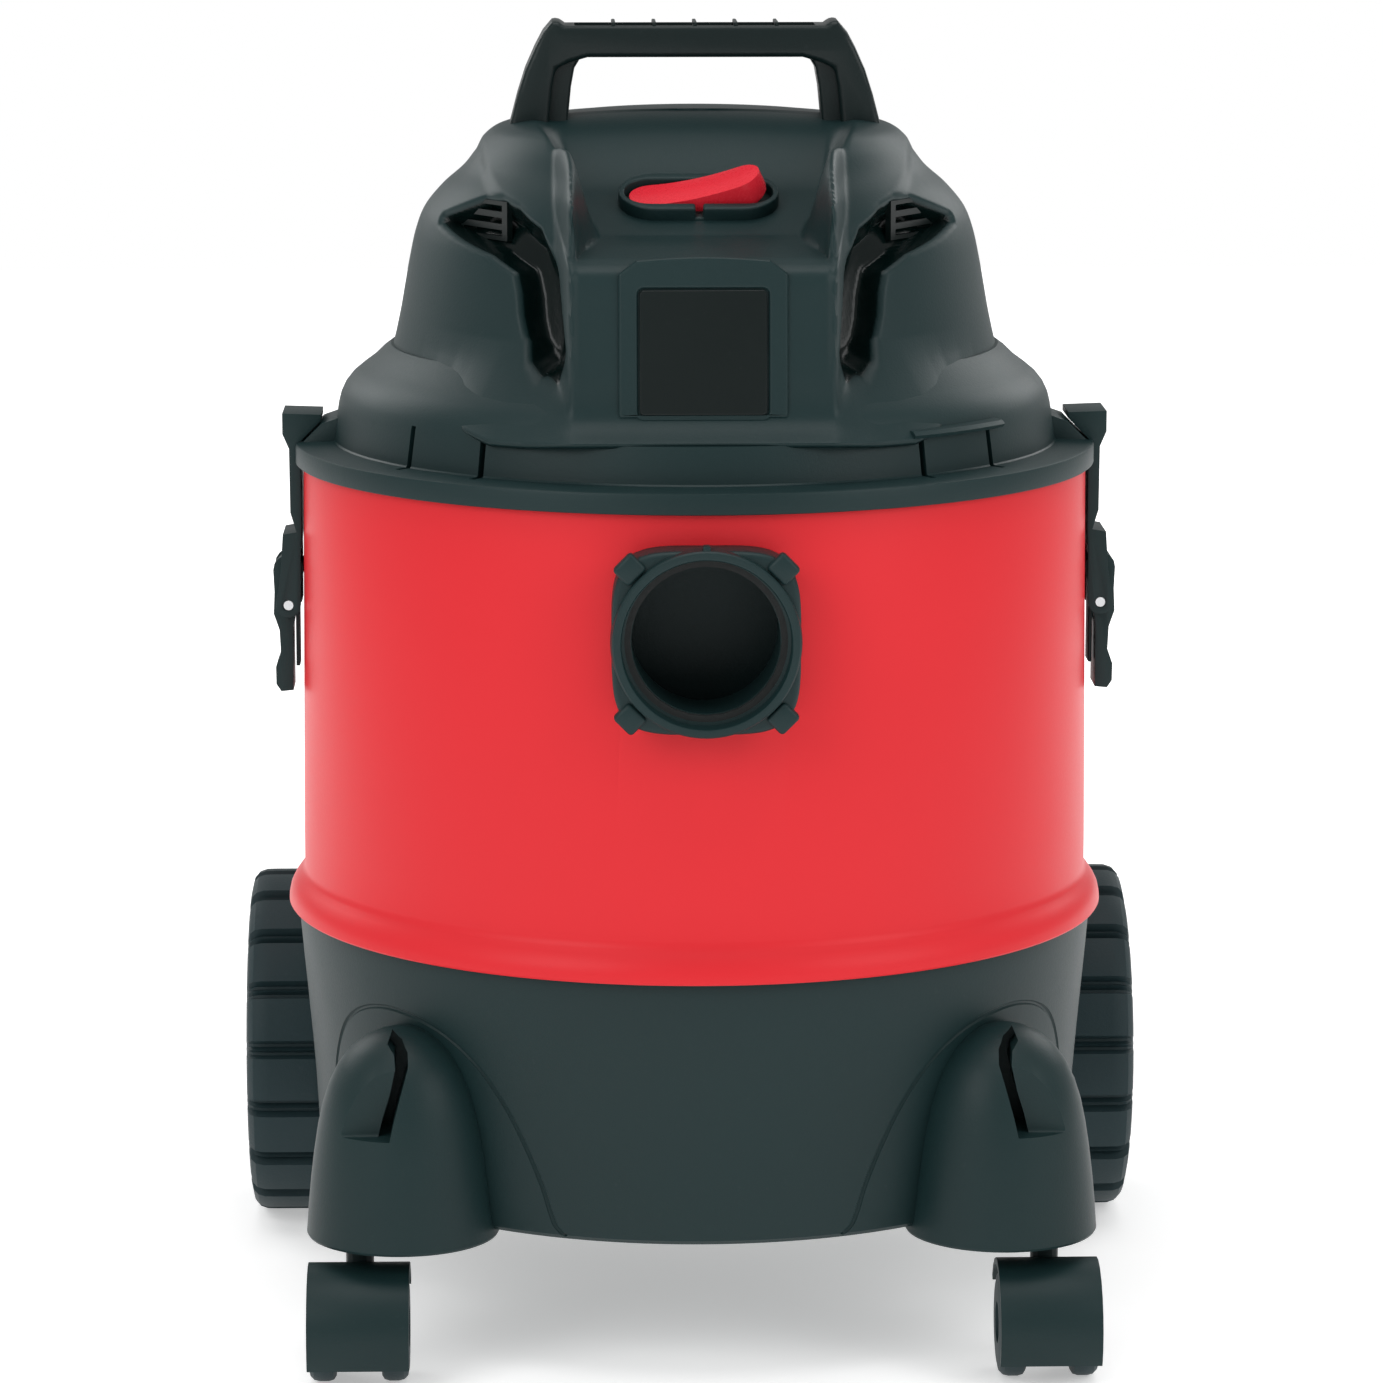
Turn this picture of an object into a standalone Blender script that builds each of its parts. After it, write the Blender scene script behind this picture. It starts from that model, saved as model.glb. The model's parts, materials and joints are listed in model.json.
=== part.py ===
# Wet and dry shop vacuum: a drum on a wheeled base, closed by a motor head that two side latches hold.
# Metres, +Z up. The hose inlet faces -Y, and the object stands on Z = 0.
import math

import bmesh
import bpy
from mathutils import Matrix

fit_gap = 0.0003            # between two pieces that touch
drum_axis_y = -0.007        # the drum stands this far forward of the object's middle
quarter = math.pi / 2

# drum
tank_rim_radius = 0.1585
tank_belly_radius = 0.1600
tank_wall = 0.0025
tank_rim_z = 0.3490
flare_radius = 0.1665
flare_top_z = 0.1780
flare_foot_z = 0.1640
well_radius = 0.1420        # the part of the drum that stands inside the base
tank_floor_z = 0.0700

# base
base_top_radius = 0.1620
base_top_z = 0.1695         # tucked up behind the drum's flare
base_foot_radius = 0.1554
base_wall = 0.0030
base_floor_z = 0.0570
base_rib_radius = 0.0700

# caster pods and casters
pod_radius = 0.0380
pod_x = 0.1180
pod_y = -0.1170
pod_foot_z = 0.0540
pod_top_z = 0.1370
stem_radius = 0.0055
stem_x = 0.1350
stem_y = -0.1230
stem_top_z = 0.0880
caster_trail = 0.0150
caster_wheel_radius = 0.0210
caster_hood_radius = 0.0255
caster_hood_wall = 0.0026
caster_width = 0.0398
caster_web = 0.0080
caster_tread = 0.0110
caster_pin_radius = 0.0025

# rear wheels
wheel_radius = 0.0740
wheel_width = 0.0380
wheel_x = 0.1695            # middle of the tread
wheel_y = 0.1180
wheel_lugs = 18
axle_radius = 0.0060
arm_end_x = 0.1470
arm_half_depth = 0.0200

# lid and motor cover
lid_radius = 0.1620
lid_foot_z = 0.3455
lid_top_z = 0.3540
lid_plate = 0.0030
lid_hole_radius = 0.0580
collar_radius = 0.1440
collar_top_z = 0.3690
cover_foot_radius = 0.1220
cover_foot_z = 0.3930
cover_crown_z = 0.4870
cover_wall = 0.0025
panel_half_width = 0.0580
panel_foot_y = -0.1415
panel_face_y = -0.1312      # the badge's face starts here, above the foot's flare
panel_face_z = 0.3785
panel_brow_y = -0.1265
panel_brow_z = 0.4320
deck_front_y = -0.0850
deck_front_z = 0.4440
deck_tilt = math.radians(22.8)

# switch, badge, grilles and gland
switch_y = -0.0600
bezel_length = 0.0630
bezel_depth = 0.0300
bezel_height = 0.0050
rocker_length = 0.0550
rocker_width = 0.0170
rocker_throw = math.radians(24)
rocker_waist = 0.0034       # top of the rocker over its pivot
rocker_neck = 0.0030
rocker_drop = 0.0070
badge_width = 0.0490
badge_height = 0.0475
badge_z = 0.4035
vent_turn = math.radians(57)
vent_width = 0.0360
vent_height = 0.0160
vent_z = 0.4480
vent_radius = 0.0985        # the grilles stand upright behind the cover's shoulder
vent_plate = 0.0025
vent_slot = 0.0024
vent_pitch = 0.0048
exhaust_turn = 0.6          # from straight back
gland_z = 0.4050
gland_radius = 0.0080
gland_bore = 0.0038

# carrying handle
handle_half_width = 0.0610
handle_top_z = 0.5230
handle_bar_z = 0.5080
handle_depth = 0.0260
handle_foot_half = 0.0750
handle_inner_half = 0.0480

# inlet
inlet_z = 0.2985
inlet_face = 0.1780
inlet_flange = 0.0710
inlet_mouth_radius = 0.0320
inlet_bore_radius = 0.0283
inlet_neck_radius = 0.0310
inlet_step = 0.0120

# motor and filter, all on the drum's axis
shaft_radius = 0.0040
bearing_radius = 0.0110
armature_radius = 0.0240
stator_radius = 0.0400
shroud_radius = 0.0700
shroud_top_z = 0.3890
impeller_radius = 0.0600
motor_floor_z = 0.3960
motor_top_z = 0.4500
cage_radius = 0.0600
cage_foot_z = 0.2515
float_radius = 0.0230
float_seat_z = 0.3250
filter_thickness = 0.0060

# side latches: pivot on the drum, hook pin on the lever
latch_x = 0.1650
latch_z = 0.3010
hook_pin_drop = 0.0140
latch_pin_radius = 0.0020
cheek_inner = 0.0065
cheek_outer = 0.0095
fork_inner = 0.0100
fork_outer = 0.0130
claw_slope = math.radians(45)

finishes = {                                     # colour, roughness, metallic
    "red": ((0.584, 0.045, 0.050), 0.38, 0.0),
    "black": ((0.025, 0.042, 0.044), 0.45, 0.0),
    "deep black": ((0.008, 0.018, 0.018), 0.35, 0.0),
    "rocker red": ((0.700, 0.048, 0.065), 0.30, 0.0),
    "rubber": ((0.020, 0.020, 0.020), 0.80, 0.0),
    "steel": ((0.560, 0.570, 0.580), 0.30, 1.0),
    "copper": ((0.720, 0.330, 0.180), 0.35, 1.0),
    "foam": ((0.055, 0.060, 0.065), 0.95, 0.0),
    "ivory": ((0.780, 0.760, 0.700), 0.50, 0.0),
    "grey": ((0.250, 0.260, 0.270), 0.50, 0.0),
}

for old in list(bpy.data.objects):
    bpy.data.objects.remove(old)
parts = bpy.data.collections.new("shop_vacuum")
cutters = bpy.data.collections.new("cutters")
for group in (parts, cutters):
    bpy.context.scene.collection.children.link(group)
drum_axis = bpy.data.objects.new("drum_axis", None)
drum_axis.location = (0.0, drum_axis_y, 0.0)
parts.objects.link(drum_axis)


# ---- shapes ----

def add(name, mesh, finish, at=(0, 0, 0), turn=(0, 0, 0)):
    """A named piece in the drum's frame, or a cutter where finish is None."""
    piece = bpy.data.objects.new(name, mesh)
    piece.location = at
    piece.rotation_euler = turn
    piece.parent = drum_axis
    if finish is None:
        piece.hide_render = True
        piece.display_type = "WIRE"
        cutters.objects.link(piece)
        return piece
    colour, roughness, metallic = finishes[finish]
    coat = bpy.data.materials.new(name)
    coat.use_nodes = True
    shader = coat.node_tree.nodes["Principled BSDF"]
    shader.inputs["Base Color"].default_value = (*colour, 1.0)
    shader.inputs["Roughness"].default_value = roughness
    shader.inputs["Metallic"].default_value = metallic
    mesh.materials.append(coat)
    parts.objects.link(piece)
    return piece


def turned(name, finish, profile, steps=32, at=(0, 0, 0), turn=(0, 0, 0)):
    """A profile of (radius, height) points, turned about local Z. It runs down its outer side."""
    on_axis = [i for i, (radius, height) in enumerate(profile) if radius == 0.0]
    if on_axis and profile[0][0] > 0.0:
        profile = profile[on_axis[-1]:] + profile[:on_axis[-1]]     # no edge along the axis itself
    mesh = bpy.data.meshes.new(name)
    edges = [(i, i + 1) for i in range(len(profile) - 1)]
    if not on_axis:
        edges.append((len(profile) - 1, 0))
    mesh.from_pydata([(radius, 0.0, height) for radius, height in profile], edges, [])
    piece = add(name, mesh, finish, at, turn)
    screw = piece.modifiers.new("turn", "SCREW")
    screw.steps = steps
    screw.render_steps = steps
    screw.use_merge_vertices = True
    screw.merge_threshold = 0.00001
    screw.use_smooth_shade = True
    return piece


def from_bmesh(name, finish, form, at, turn, smooth=False):
    mesh = bpy.data.meshes.new(name)
    form.to_mesh(mesh)
    form.free()
    if smooth:
        mesh.shade_smooth()
        mesh.set_sharp_from_angle(angle=math.radians(35))
    return add(name, mesh, finish, at, turn)


def block(name, finish, low, high, bevel=0.0, at=(0, 0, 0), turn=(0, 0, 0)):
    """A box between two corners, with its edges bevelled."""
    size = [b - a for a, b in zip(low, high)]
    middle = [(a + b) / 2 for a, b in zip(low, high)]
    form = bmesh.new()
    place = Matrix.Translation(middle) @ Matrix.Diagonal((*size, 1.0))
    bmesh.ops.create_cube(form, size=1.0, matrix=place)
    piece = from_bmesh(name, finish, form, at, turn)
    if bevel:
        edge = piece.modifiers.new("edges", "BEVEL")
        edge.width = bevel
        edge.segments = 2
    return piece


def boxes(name, size, places):
    """A cutter or a set of ribs: equal boxes at the places given as matrices."""
    form = bmesh.new()
    for place in places:
        bmesh.ops.create_cube(form, size=1.0, matrix=place @ Matrix.Diagonal((*size, 1.0)))
    return from_bmesh(name, None, form, (0, 0, 0), (0, 0, 0))


def rods(name, radius, low, high, spots, finish=None, sides=12, turn=(0, 0, 0), at=(0, 0, 0)):
    """Equal upright rods from low to high, at the (x, y) spots."""
    form = bmesh.new()
    for x, y in spots:
        place = Matrix.Translation((x, y, (low + high) / 2))
        bmesh.ops.create_cone(form, cap_ends=True, segments=sides, radius1=radius, radius2=radius,
                              depth=high - low, matrix=place)
    return from_bmesh(name, finish, form, at, turn, smooth=True)


def sheet(name, finish, outline, low, high, plane="XZ", at=(0, 0, 0), turn=(0, 0, 0)):
    """A flat outline given thickness: XZ runs from low to high along Y, YZ along X, XY along Z."""
    curve = bpy.data.curves.new(name, "CURVE")
    curve.dimensions = "2D"
    curve.fill_mode = "BOTH"
    curve.extrude = (high - low) / 2
    line = curve.splines.new("POLY")
    line.points.add(len(outline) - 1)
    for point, (u, v) in zip(line.points, outline):
        point.co = (u, v, 0.0, 1.0)
    line.use_cyclic_u = True
    drawn = bpy.data.objects.new(name + "_outline", curve)
    cutters.objects.link(drawn)
    state = bpy.context.evaluated_depsgraph_get()
    mesh = bpy.data.meshes.new_from_object(drawn.evaluated_get(state))
    bpy.data.objects.remove(drawn)
    middle = (low + high) / 2
    stand = {
        "XZ": Matrix(((1, 0, 0, 0), (0, 0, 1, middle), (0, 1, 0, 0), (0, 0, 0, 1))),
        "YZ": Matrix(((0, 0, 1, middle), (1, 0, 0, 0), (0, 1, 0, 0), (0, 0, 0, 1))),
        "XY": Matrix.Translation((0, 0, middle)),
    }[plane]
    form = bmesh.new()
    form.from_mesh(mesh)
    bpy.data.meshes.remove(mesh)
    bmesh.ops.remove_doubles(form, verts=form.verts, dist=0.000001)
    bmesh.ops.dissolve_limit(form, angle_limit=0.001, verts=form.verts, edges=form.edges)
    bmesh.ops.transform(form, matrix=stand, verts=form.verts)
    bmesh.ops.recalc_face_normals(form, faces=form.faces)
    return from_bmesh(name, finish, form, at, turn, smooth=True)


def combine(piece, other, operation):
    step = piece.modifiers.new(operation.lower() + " " + other.name, "BOOLEAN")
    step.operation = operation
    step.object = other
    return piece


def cut(piece, *others):
    for other in others:
        combine(piece, other, "DIFFERENCE")
    return piece


def join(piece, *others):
    for other in others:
        combine(piece, other, "UNION")
    return piece


def arc(radius, start, end, count, centre=(0.0, 0.0)):
    """Points on an arc, angles in degrees."""
    angles = [math.radians(start + (end - start) * i / count) for i in range(count + 1)]
    return [(centre[0] + radius * math.cos(a), centre[1] + radius * math.sin(a)) for a in angles]


def around(count, radius, start=0.0):
    """Spots on a circle about the axis."""
    turns = [start + i * 2 * math.pi / count for i in range(count)]
    return [(radius * math.cos(a), radius * math.sin(a)) for a in turns]


def spin_places(count, radius, height, start=0.0):
    """Matrices round the axis, each with its local X pointing outwards."""
    places = []
    for i in range(count):
        turn = Matrix.Rotation(start + i * 2 * math.pi / count, 4, "Z")
        places.append(turn @ Matrix.Translation((radius, 0.0, height)))
    return places


# ---- drum and base ----

def tank_outside(extra):
    """The drum's outer side above its flare, as a cutter that stands extra outside it."""
    return turned("tank_outside", None, [
        (0.0, tank_rim_z + 0.05), (tank_rim_radius + extra, tank_rim_z + 0.05),
        (tank_rim_radius + extra, tank_rim_z), (tank_belly_radius + extra, flare_top_z + 0.012),
        (tank_belly_radius + extra, flare_top_z), (0.0, flare_top_z)], steps=40)


def make_tank():
    lip = flare_radius - tank_wall
    tank = turned("tank", "red", [
        (tank_rim_radius, tank_rim_z), (tank_belly_radius, flare_top_z + 0.012),
        (tank_belly_radius, flare_top_z), (flare_radius - 0.002, flare_top_z - 0.007),
        (flare_radius, flare_foot_z + 0.003), (flare_radius, flare_foot_z),
        (lip, flare_foot_z), (lip - 0.001, flare_top_z - 0.008), (well_radius, flare_top_z - 0.006),
        (well_radius - 0.001, tank_floor_z + 0.008), (well_radius - 0.008, tank_floor_z),
        (0.0, tank_floor_z), (0.0, tank_floor_z + tank_wall),
        (well_radius - 0.008, tank_floor_z + tank_wall),
        (well_radius - tank_wall - 0.001, tank_floor_z + 0.010),
        (well_radius - tank_wall, flare_top_z - 0.0035),
        (tank_belly_radius - tank_wall, flare_top_z),
        (tank_belly_radius - tank_wall, flare_top_z + 0.012),
        (tank_rim_radius - tank_wall, tank_rim_z)], steps=40)
    hole = rods("inlet_hole", inlet_neck_radius + fit_gap, 0.10, 0.20, [(0, inlet_z)],
                turn=(quarter, 0, 0), sides=28)
    cut(tank, hole)


def base_side(inset):
    """The base's outer side from its top edge to its foot, moved in by inset."""
    return [
        (base_top_radius - 0.0015 - inset, base_top_z), (base_top_radius - inset, flare_foot_z - 0.004),
        (base_top_radius - inset, flare_foot_z - 0.009),
        (base_foot_radius + 0.0039 - inset, 0.126), (base_foot_radius + 0.001 - inset, 0.093),
        (base_foot_radius - inset, 0.071), (base_foot_radius - 0.0008 - inset, base_floor_z + 0.005),
        (base_foot_radius - 0.0054 - inset, base_floor_z)]


def bullet(name, side, inset, foot):
    """A caster pod's rounded form, standing on its foot."""
    rise = pod_top_z - pod_foot_z - inset
    reach = pod_radius - inset
    shape = [(0.0, rise), (0.32 * reach, 0.965 * rise), (0.63 * reach, 0.84 * rise),
             (0.82 * reach, 0.65 * rise), (0.92 * reach, 0.41 * rise), (0.98 * reach, 0.14 * rise),
             (reach, foot), (0.0, foot)]
    return turned(name, None, shape, steps=24, at=(side * pod_x, pod_y, pod_foot_z))


def make_base():
    """A round tray with a rib ring under the drum, two hollow caster pods and two axle arms."""
    base = turned("base_chassis", "black", [(0.0, base_top_z)] + base_side(0.0)
                  + [(0.0, base_floor_z)], steps=40)
    rib_top = tank_floor_z - fit_gap
    rib_outer = base_rib_radius + base_wall
    inner_foot = base_foot_radius - base_wall
    tray = turned("tray_hollow", None, [
        (base_top_radius - base_wall, 0.20), (base_top_radius - base_wall, flare_foot_z - 0.009),
        (inner_foot + 0.0039, 0.126), (inner_foot + 0.001, 0.093), (inner_foot, base_floor_z + 0.010),
        (inner_foot - 0.005, base_floor_z + base_wall), (rib_outer, base_floor_z + base_wall),
        (rib_outer, rib_top), (base_rib_radius, rib_top), (base_rib_radius, base_floor_z + base_wall),
        (0.0, base_floor_z + base_wall), (0.0, 0.20)], steps=40)
    pod_hollows = []
    for side in (-1, 1):
        ends = sorted((side * 0.085, side * arm_end_x))
        arm = block("axle_arm", None, (ends[0], wheel_y - arm_half_depth, base_floor_z + 0.0005),
                    (ends[1], wheel_y + arm_half_depth, wheel_radius + 0.022), bevel=0.004)
        join(base, bullet("pod", side, 0.0, 0.0), arm)
        hollow = bullet("pod_hollow", side, base_wall, -0.01)
        socket = rods("pod_socket", stem_radius + 0.004, pod_foot_z - 0.02, pod_top_z,
                      [(side * stem_x, stem_y)])
        kept = turned("kept_wall", None, [(0.0, 0.20)] + base_side(0.0)[2:-1] + [
            (base_foot_radius - 0.0008, 0.03), (0.0, 0.03)], steps=40)
        pod_hollows.append(cut(hollow, socket, kept))
    cut(base, tray, *pod_hollows)
    for side in (-1, 1):
        stem_hole = rods("stem_hole", stem_radius + fit_gap, pod_foot_z - 0.02, stem_top_z + 0.001,
                         [(side * stem_x, stem_y)])
        axle_hole = rods("axle_hole", axle_radius + fit_gap, 0.1080, 0.20,
                         [(-side * wheel_radius, wheel_y)], turn=(0, side * quarter, 0))
        cut(base, stem_hole, axle_hole)


def make_inlet():
    """The hose socket: a rounded square flange, a neck through the drum and a stepped bore."""
    half = inlet_flange / 2
    corner = 0.014
    outline = []
    for turn in range(4):
        angle = quarter * turn
        for x, z in arc(corner, 0, 90, 5, (half - corner, half - corner)):
            outline.append((x * math.cos(angle) - z * math.sin(angle),
                            x * math.sin(angle) + z * math.cos(angle) + inlet_z))
    port = sheet("inlet_port", "black", outline, -inlet_face, -0.150)
    cut(port, tank_outside(fit_gap + 0.0004))
    along = {"turn": (quarter, 0, 0), "sides": 28}
    spot = [(0, inlet_z)]
    neck = rods("inlet_neck", inlet_neck_radius, 0.1370, inlet_face - 0.004, spot, **along)
    mouth = rods("inlet_mouth", inlet_mouth_radius, inlet_face - inlet_step, inlet_face + 0.01, spot,
                 **along)
    bore = rods("inlet_bore", inlet_bore_radius, 0.10, inlet_face + 0.02, spot, **along)
    cut(join(port, neck), mouth, bore)
    seat = inlet_face - inlet_step
    turned("inlet_gasket", "rubber", [
        (inlet_mouth_radius - fit_gap, seat + 0.0028), (inlet_mouth_radius - fit_gap, seat + fit_gap),
        (inlet_bore_radius + 0.0004, seat + fit_gap), (inlet_bore_radius + 0.0004, seat + 0.0028)],
        steps=28, at=(0, 0, inlet_z), turn=(quarter, 0, 0))
    hood = block("inlet_deflector", "black", (-0.035, -0.1400, inlet_z - 0.040),
                 (0.035, -0.1130, inlet_z + 0.038), bevel=0.004)
    pocket = block("deflector_pocket", None, (-0.0325, -0.1365, inlet_z - 0.06),
                   (0.0325, -0.1155, inlet_z + 0.0355), bevel=0.003)
    collar = rods("deflector_collar", inlet_neck_radius + fit_gap, 0.130, 0.16, spot, **along)
    cut(hood, pocket, collar)


# ---- rear wheels and casters ----

def make_rear_wheel(side, name):
    half = wheel_width / 2
    hub_radius = 0.020
    bore = axle_radius + fit_gap
    turn = (0, side * quarter, 0)
    at = (side * wheel_x, wheel_y, wheel_radius)
    wheel = turned("rear_wheel_" + name, "black", [
        (wheel_radius - 0.005, half), (wheel_radius, half - 0.004), (wheel_radius, 0.004 - half),
        (wheel_radius - 0.004, -half), (0.058, -half), (0.058, -0.003), (hub_radius, -0.003),
        (hub_radius, -half), (bore, -half), (bore, 0.0125), (hub_radius, 0.0125), (hub_radius, 0.003),
        (0.058, 0.003), (0.058, half)], steps=wheel_lugs * 2, at=at, turn=turn)
    grooves = boxes("tread_grooves", (0.006, 0.0035, wheel_width + 0.01),
                    spin_places(wheel_lugs, wheel_radius, 0.0))
    grooves.location = at
    grooves.rotation_euler = turn
    cut(wheel, grooves)
    turned("hub_cap_" + name, "black", [
        (0.0, half), (0.014, half - 0.0006), (0.0225, half - 0.003), (0.0225, 0.0125 + fit_gap),
        (0.0, 0.0125 + fit_gap)], steps=20, at=at, turn=turn)
    start = 0.1085
    rods("rear_axle_" + name, axle_radius, start, wheel_x + 0.0120, [(-side * wheel_radius, wheel_y)],
         finish="steel", turn=turn)


def make_caster(side, name):
    """A twin-wheel caster. Its origin is on the stem, and the wheels stand ahead of it."""
    at = (side * stem_x, stem_y, 0.0)
    hub = (-caster_trail, caster_wheel_radius)
    outer = arc(caster_hood_radius, 30, 206, 11, hub)
    inner = arc(caster_hood_radius - caster_hood_wall, 206, 30, 11, hub)
    hood = sheet("caster_hood_" + name, "black", outer + inner, -caster_width / 2, caster_width / 2,
                 plane="YZ", at=at)
    web_outline = arc(caster_hood_radius - 0.001, 30, 206, 11, hub) + [
        (hub[0] - 0.004, hub[1] - 0.010), (hub[0] + 0.006, hub[1] - 0.010)]
    web = sheet("caster_web", None, web_outline, -caster_web / 2, caster_web / 2, plane="YZ", at=at)
    stem = rods("caster_stem", stem_radius, 0.0365, stem_top_z, [(0, 0)], at=at)
    pin_hole = rods("caster_pin_hole", caster_pin_radius + fit_gap, -0.03, 0.03, [(-hub[1], hub[0])],
                    turn=(0, quarter, 0), at=at)
    cut(join(hood, web, stem), pin_hole)
    rods("caster_axle_" + name, caster_pin_radius, -caster_width / 2 + 0.003, caster_width / 2 - 0.003,
         [(-hub[1], hub[0])], finish="steel", turn=(0, quarter, 0), at=at)
    for place, hand in (("left", -1), ("right", 1)):
        inner_x = caster_width / 2 - caster_tread
        middle = hand * (inner_x + caster_tread / 2)
        half = caster_tread / 2
        turned("caster_wheel_" + name + "_" + place, "deep black", [
            (caster_wheel_radius - 0.002, half), (caster_wheel_radius, half - 0.002),
            (caster_wheel_radius, 0.002 - half), (caster_wheel_radius - 0.002, -half),
            (caster_pin_radius + fit_gap, -half), (caster_pin_radius + fit_gap, half - 0.003),
            (0.008, half - 0.003), (0.008, half)], steps=20,
            at=(at[0] + middle, at[1] + hub[0], hub[1]), turn=(0, hand * quarter, 0))


# ---- motor head ----

def make_lid():
    """The lid: a flange over the drum's rim, an upright collar and a shoulder under the cover."""
    floor_z = lid_top_z - lid_plate
    lid = turned("head_base", "black", [
        (cover_foot_radius + 0.0005, cover_foot_z), (cover_foot_radius + 0.0080, cover_foot_z - 0.008),
        (collar_radius - 0.0025, collar_top_z + 0.008), (collar_radius, collar_top_z),
        (collar_radius + 0.0025, lid_top_z + 0.0003),
        (lid_radius - 0.001, lid_top_z), (lid_radius, lid_top_z - 0.001), (lid_radius, lid_foot_z),
        (lid_radius - 0.0026, lid_foot_z), (lid_radius - 0.0026, floor_z + 0.0004),
        (lid_hole_radius, floor_z + 0.0004), (lid_hole_radius, lid_top_z),
        (collar_radius - 0.0025, lid_top_z), (collar_radius - 0.0025, collar_top_z - 0.001),
        (collar_radius - 0.0050, collar_top_z + 0.0065), (cover_foot_radius + 0.0060, cover_foot_z - 0.0105),
        (cover_foot_radius - 0.0030, cover_foot_z - 0.0025), (cover_foot_radius - 0.0030, cover_foot_z)],
        steps=40)
    for side in (-1, 1):
        # the hook's claw rests on this sloped lug, and the flange is cut back beside it
        foot = 0.1587
        rise = 0.0080
        lug_outline = [(side * (collar_radius - 0.002), lid_top_z - 0.001), (side * foot, lid_top_z - 0.001),
                       (side * foot, lid_top_z - 0.0005), (side * (foot - rise / math.tan(claw_slope)),
                                                           lid_top_z - 0.0005 + rise),
                       (side * (collar_radius - 0.002), lid_top_z - 0.0005 + rise + 0.003)]
        lug = sheet("latch_lug", None, lug_outline, -0.0150, 0.0150)
        ends = sorted((side * foot, side * 0.18))
        notch = block("latch_notch", None, (ends[0], -0.0155, 0.33), (ends[1], 0.0155, 0.38))
        cut(join(lid, lug), notch)
    holes = rods("screw_holes", 0.0022, 0.33, 0.38, screw_spots())
    reach = panel_half_width + fit_gap
    front_gap = block("front_gap", None, (-reach, -0.17, collar_top_z + 0.0002), (reach, -0.03, 0.42))
    cut(lid, holes, front_gap)
    rim = tank_rim_z + fit_gap
    turned("lid_seal", "rubber", [
        (tank_rim_radius - 0.0004, floor_z), (tank_rim_radius - 0.0004, rim),
        (tank_rim_radius - tank_wall - 0.0006, rim), (tank_rim_radius - tank_wall - 0.0006, floor_z)],
        steps=40)


def screw_spots():
    return around(4, 0.1125, start=quarter / 2)


def dome(name, finish, inset, foot_drop):
    """The round part of the cover, moved in by inset and down at its foot by foot_drop."""
    dome_sides = [(0.0403, 0.486), (0.0660, 0.483), (0.0790, 0.480), (0.0850, 0.474), (0.0900, 0.466),
                  (0.1020, 0.458), (0.1097, 0.450), (0.1130, 0.442), (0.1160, 0.425), (0.1185, 0.4095)]
    foot = cover_foot_z + fit_gap - foot_drop
    profile = [(0.0, cover_crown_z - inset)]
    profile += [(radius - inset, height - inset) for radius, height in dome_sides]
    profile += [(cover_foot_radius - inset, cover_foot_z + 0.0005), (cover_foot_radius - inset, foot),
                (0.0, foot)]
    return turned(name, finish, profile, steps=36)


def cover_form(name, finish, inset, foot_drop):
    """The cover as a solid: a dome and a front panel, with the sloped switch deck cut in."""
    form = dome(name, finish, inset, foot_drop)
    slope = math.tan(deck_tilt)
    panel_low = collar_top_z + 0.0007 - foot_drop
    back_y = -0.030
    outline = [(panel_foot_y + inset, panel_low), (back_y, panel_low), (back_y, 0.462 - inset),
               (deck_front_y, deck_front_z - inset),
               (panel_brow_y + 0.0050 + inset, panel_brow_z + 0.0055 - inset),
               (panel_brow_y + inset, panel_brow_z), (panel_face_y + inset, panel_face_z - inset),
               (panel_foot_y + 0.0080 + inset, panel_face_z - 0.0022 - inset),
               (panel_foot_y + inset, panel_low + 0.0028 + foot_drop - inset)]
    half = panel_half_width - inset
    panel = sheet("front_panel", None, outline, -half, half, plane="YZ")
    join(form, panel)
    deck = [(-0.16, panel_brow_z + 0.0045 - inset), (panel_brow_y + 0.0050, panel_brow_z + 0.0055 - inset),
            (deck_front_y, deck_front_z - inset),
            (-0.010, deck_front_z + (-0.010 - deck_front_y) * slope - inset),
            (-0.010, 0.52), (-0.16, 0.52)]
    reach = panel_half_width - 0.006 + inset
    return cut(form, sheet("deck_cut", None, deck, -reach, reach, plane="YZ"))


def switch_place(height=0.0):
    """The switch's middle: a point on the deck, raised square to it."""
    z = deck_front_z + (switch_y - deck_front_y) * math.tan(deck_tilt)
    return (0.0, switch_y - height * math.sin(deck_tilt), z + height * math.cos(deck_tilt))


def stadium(length, width):
    """An oval with straight sides, centred."""
    reach = length / 2 - width / 2
    return arc(width / 2, -90, 90, 10, (reach, 0)) + arc(width / 2, 90, 270, 10, (-reach, 0))


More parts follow.
